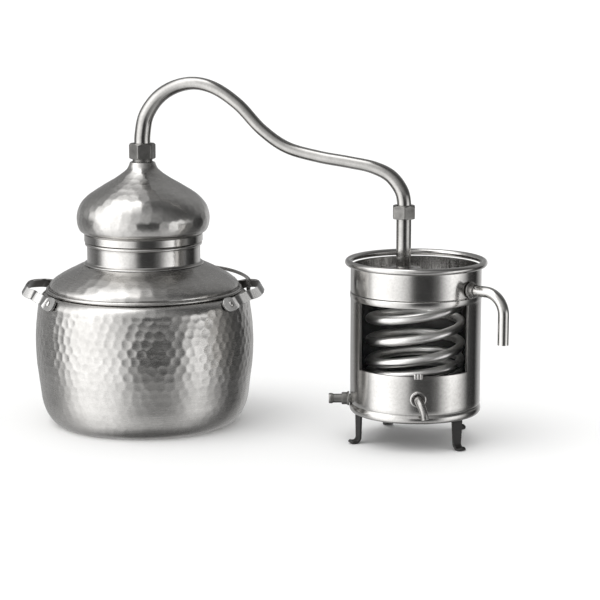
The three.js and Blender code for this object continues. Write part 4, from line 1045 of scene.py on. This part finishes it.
COIL_RADIUS, COIL_TUBE, COIL_BORE = 44.5, 4.5, 3.5
COIL_PITCH, COIL_LOW_PITCH, COIL_LOW_START = 20.9, 11, -163
COIL_MIDDLE, COIL_TILT, COIL_TILT_ANGLE = 92.5, 3.5, 17
INLET_RADIUS, INLET_BORE, INLET_BOTTOM = 7.25, 6.1, 158
SPOUT_DROP = [(57.1, 0), (64, 0), (70.5, 0.9), (76, 4.4), (79.6, 9.9), (81, 16.1)]
OVERFLOW_ANGLE, OVERFLOW_HEIGHT, OVERFLOW_END = -23, 155.5, 107
OVERFLOW_REACH, OVERFLOW_BEND = 103, 20
STUB_ANGLE, STUB_HEIGHT, STUB_BORE, STUB_RADIUS = -163, 40.6, 3.3, 4.4


def coil_height(turn):
    low = min(turn - COIL_LOW_START, 0)
    climb = COIL_PITCH * (turn - COIL_TILT_ANGLE - low) + COIL_LOW_PITCH * low
    return COIL_MIDDLE + climb / 360 + COIL_TILT * cos(radians(turn - COIL_TILT_ANGLE))


def make_coil():
    inlet = TUB_X - UNION_X
    knots = [polar(SPOUT_ANGLE, 56.8, SPOUT_HEIGHT), polar(SPOUT_ANGLE, 52.5, SPOUT_HEIGHT),
        polar(SPOUT_ANGLE + 8, 46.6, SPOUT_HEIGHT + 0.8),
        polar(SPOUT_ANGLE + 24, COIL_RADIUS, 60.5)]
    knots += [polar(turn, COIL_RADIUS, coil_height(turn)) for turn in range(-750, 781, 15)]
    knots += [polar(90, COIL_RADIUS - 0.8, 140.4), polar(122, 38, 142.6),
        polar(152, 25, 145.4), polar(176, 14.3, 150.6), polar(180, inlet, 157.5),
        polar(180, inlet, 165)]
    path = [(x + TUB_X, y, z) for x, y, z in spline(knots, 2.6)]
    pipe("coil_tube", path, lambda s: COIL_TUBE, lambda s: COIL_BORE, coil_skin, BASE, "coil", 24)


def sleeve(name, node, angle, height, inner, flange, outer, end, material):
    """Flanged sleeve outside the tub wall, with its edges eased."""
    start = TUB_RADIUS + 0.9
    profile = [(inner, start), (flange - 0.3, start), (flange, start + 0.3), (flange, start + 1.4),
        (flange - 0.4, start + 1.8), (outer + 0.3, start + 2.0), (outer, start + 2.4),
        (outer, end - 0.4), (outer - 0.4, end), (inner, end)]
    lathe(name, profile, material, BASE, 64, node, place=outward(angle, height, centre_x=TUB_X))


def make_inlet():
    body = [(INLET_RADIUS, z) for z in linspace(INLET_BOTTOM, 218.4, 12)]
    collar = arc(7.6, 219.8, 0.9, 0.9, -90, 0, 4) + [(8.5, 225.5), (8.1, 225.9), (INLET_BORE, 225.9)]
    lathe("inlet_tube", [(INLET_BORE, INLET_BOTTOM)] + body + collar, drawn, BASE, 64, "inlet_pipe",
        centre_x=UNION_X)
    ring_band("inlet_rest", INLET_RADIUS + GAP, 16.9, 169.2, 170.4, turned, BASE, "inlet_disc", segments=96,
        centre_x=UNION_X, soft=0.2)


def make_spout():
    wall, end = SPOUT_DROP[1][0], SPOUT_DROP[-1][0]
    path = []
    for distance, drop in spline(SPOUT_DROP, 0.8):
        angle = SPOUT_ANGLE + SPOUT_SWAY * max((distance - wall) / (end - wall), 0) ** 2
        path.append(polar(angle, distance, SPOUT_HEIGHT - drop, TUB_X))
    pipe("spout_nozzle", path, lambda s: 4.6 * (1 - 0.25 * s), lambda s: 3.5 * (1 - 0.25 * s), fitting, BASE,
        "spout", 36)
    sleeve("spout_ring", "spout_flange", SPOUT_ANGLE, SPOUT_HEIGHT, 4.95, 7.7, 6.2, 66.6, fitting)


def make_overflow():
    bend = [(OVERFLOW_REACH - OVERFLOW_BEND * (1 - cos(t)),
        OVERFLOW_HEIGHT - OVERFLOW_BEND * (1 - sin(t))) for t in linspace(pi / 2, 0, 24)]
    line = [(58, OVERFLOW_HEIGHT), (70, OVERFLOW_HEIGHT)] + bend
    line += [(OVERFLOW_REACH, 121), (OVERFLOW_REACH, OVERFLOW_END)]
    path = [polar(OVERFLOW_ANGLE, distance, z, TUB_X) for distance, z in resample(line, 1.2)]
    pipe("overflow_tube", path, lambda s: 5.25, lambda s: 4.1, turned, BASE, "overflow_pipe", 36)
    sleeve("overflow_ring", "overflow_sleeve", OVERFLOW_ANGLE, OVERFLOW_HEIGHT, 5.6, 7.9, 6.6, 70.6, fitting)


def make_water_inlet():
    stub = [(STUB_BORE, 57), (STUB_RADIUS, 57), (STUB_RADIUS, 79.4)]
    stub += arc(4.2, 82.4, 0.95, 2.4, -80, 60, 10) + [(STUB_BORE, 84.4)]
    lathe("water_inlet", stub, nut_metal, BASE, 48, "water_stub",
        place=outward(STUB_ANGLE, STUB_HEIGHT, centre_x=TUB_X), sharp=50)
    sleeve("water_ring", "water_sleeve", STUB_ANGLE, STUB_HEIGHT, 4.75, 7, 6, 71.8, nut_metal)


def dress_kept_nodes():
    looks = {"inlet_reducer": turned, "spout_lock_nut": nut_metal, "overflow_lock_nut": nut_metal,
        "water_lock_nut": nut_metal}
    for node, material in looks.items():
        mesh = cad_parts[node].data
        mesh.materials.clear()
        mesh.materials.append(material)


make_camera()
bpy.context.scene.view_settings.view_transform = "Standard"
make_world()
make_floor()
make_surround()
shadow_light()
make_pot()
make_pot_fittings()
make_cover()
make_collar()
make_head()
make_neck()
make_tub()
make_window()
make_legs()
make_coil()
make_inlet()
make_spout()
make_overflow()
make_water_inlet()
dress_kept_nodes()
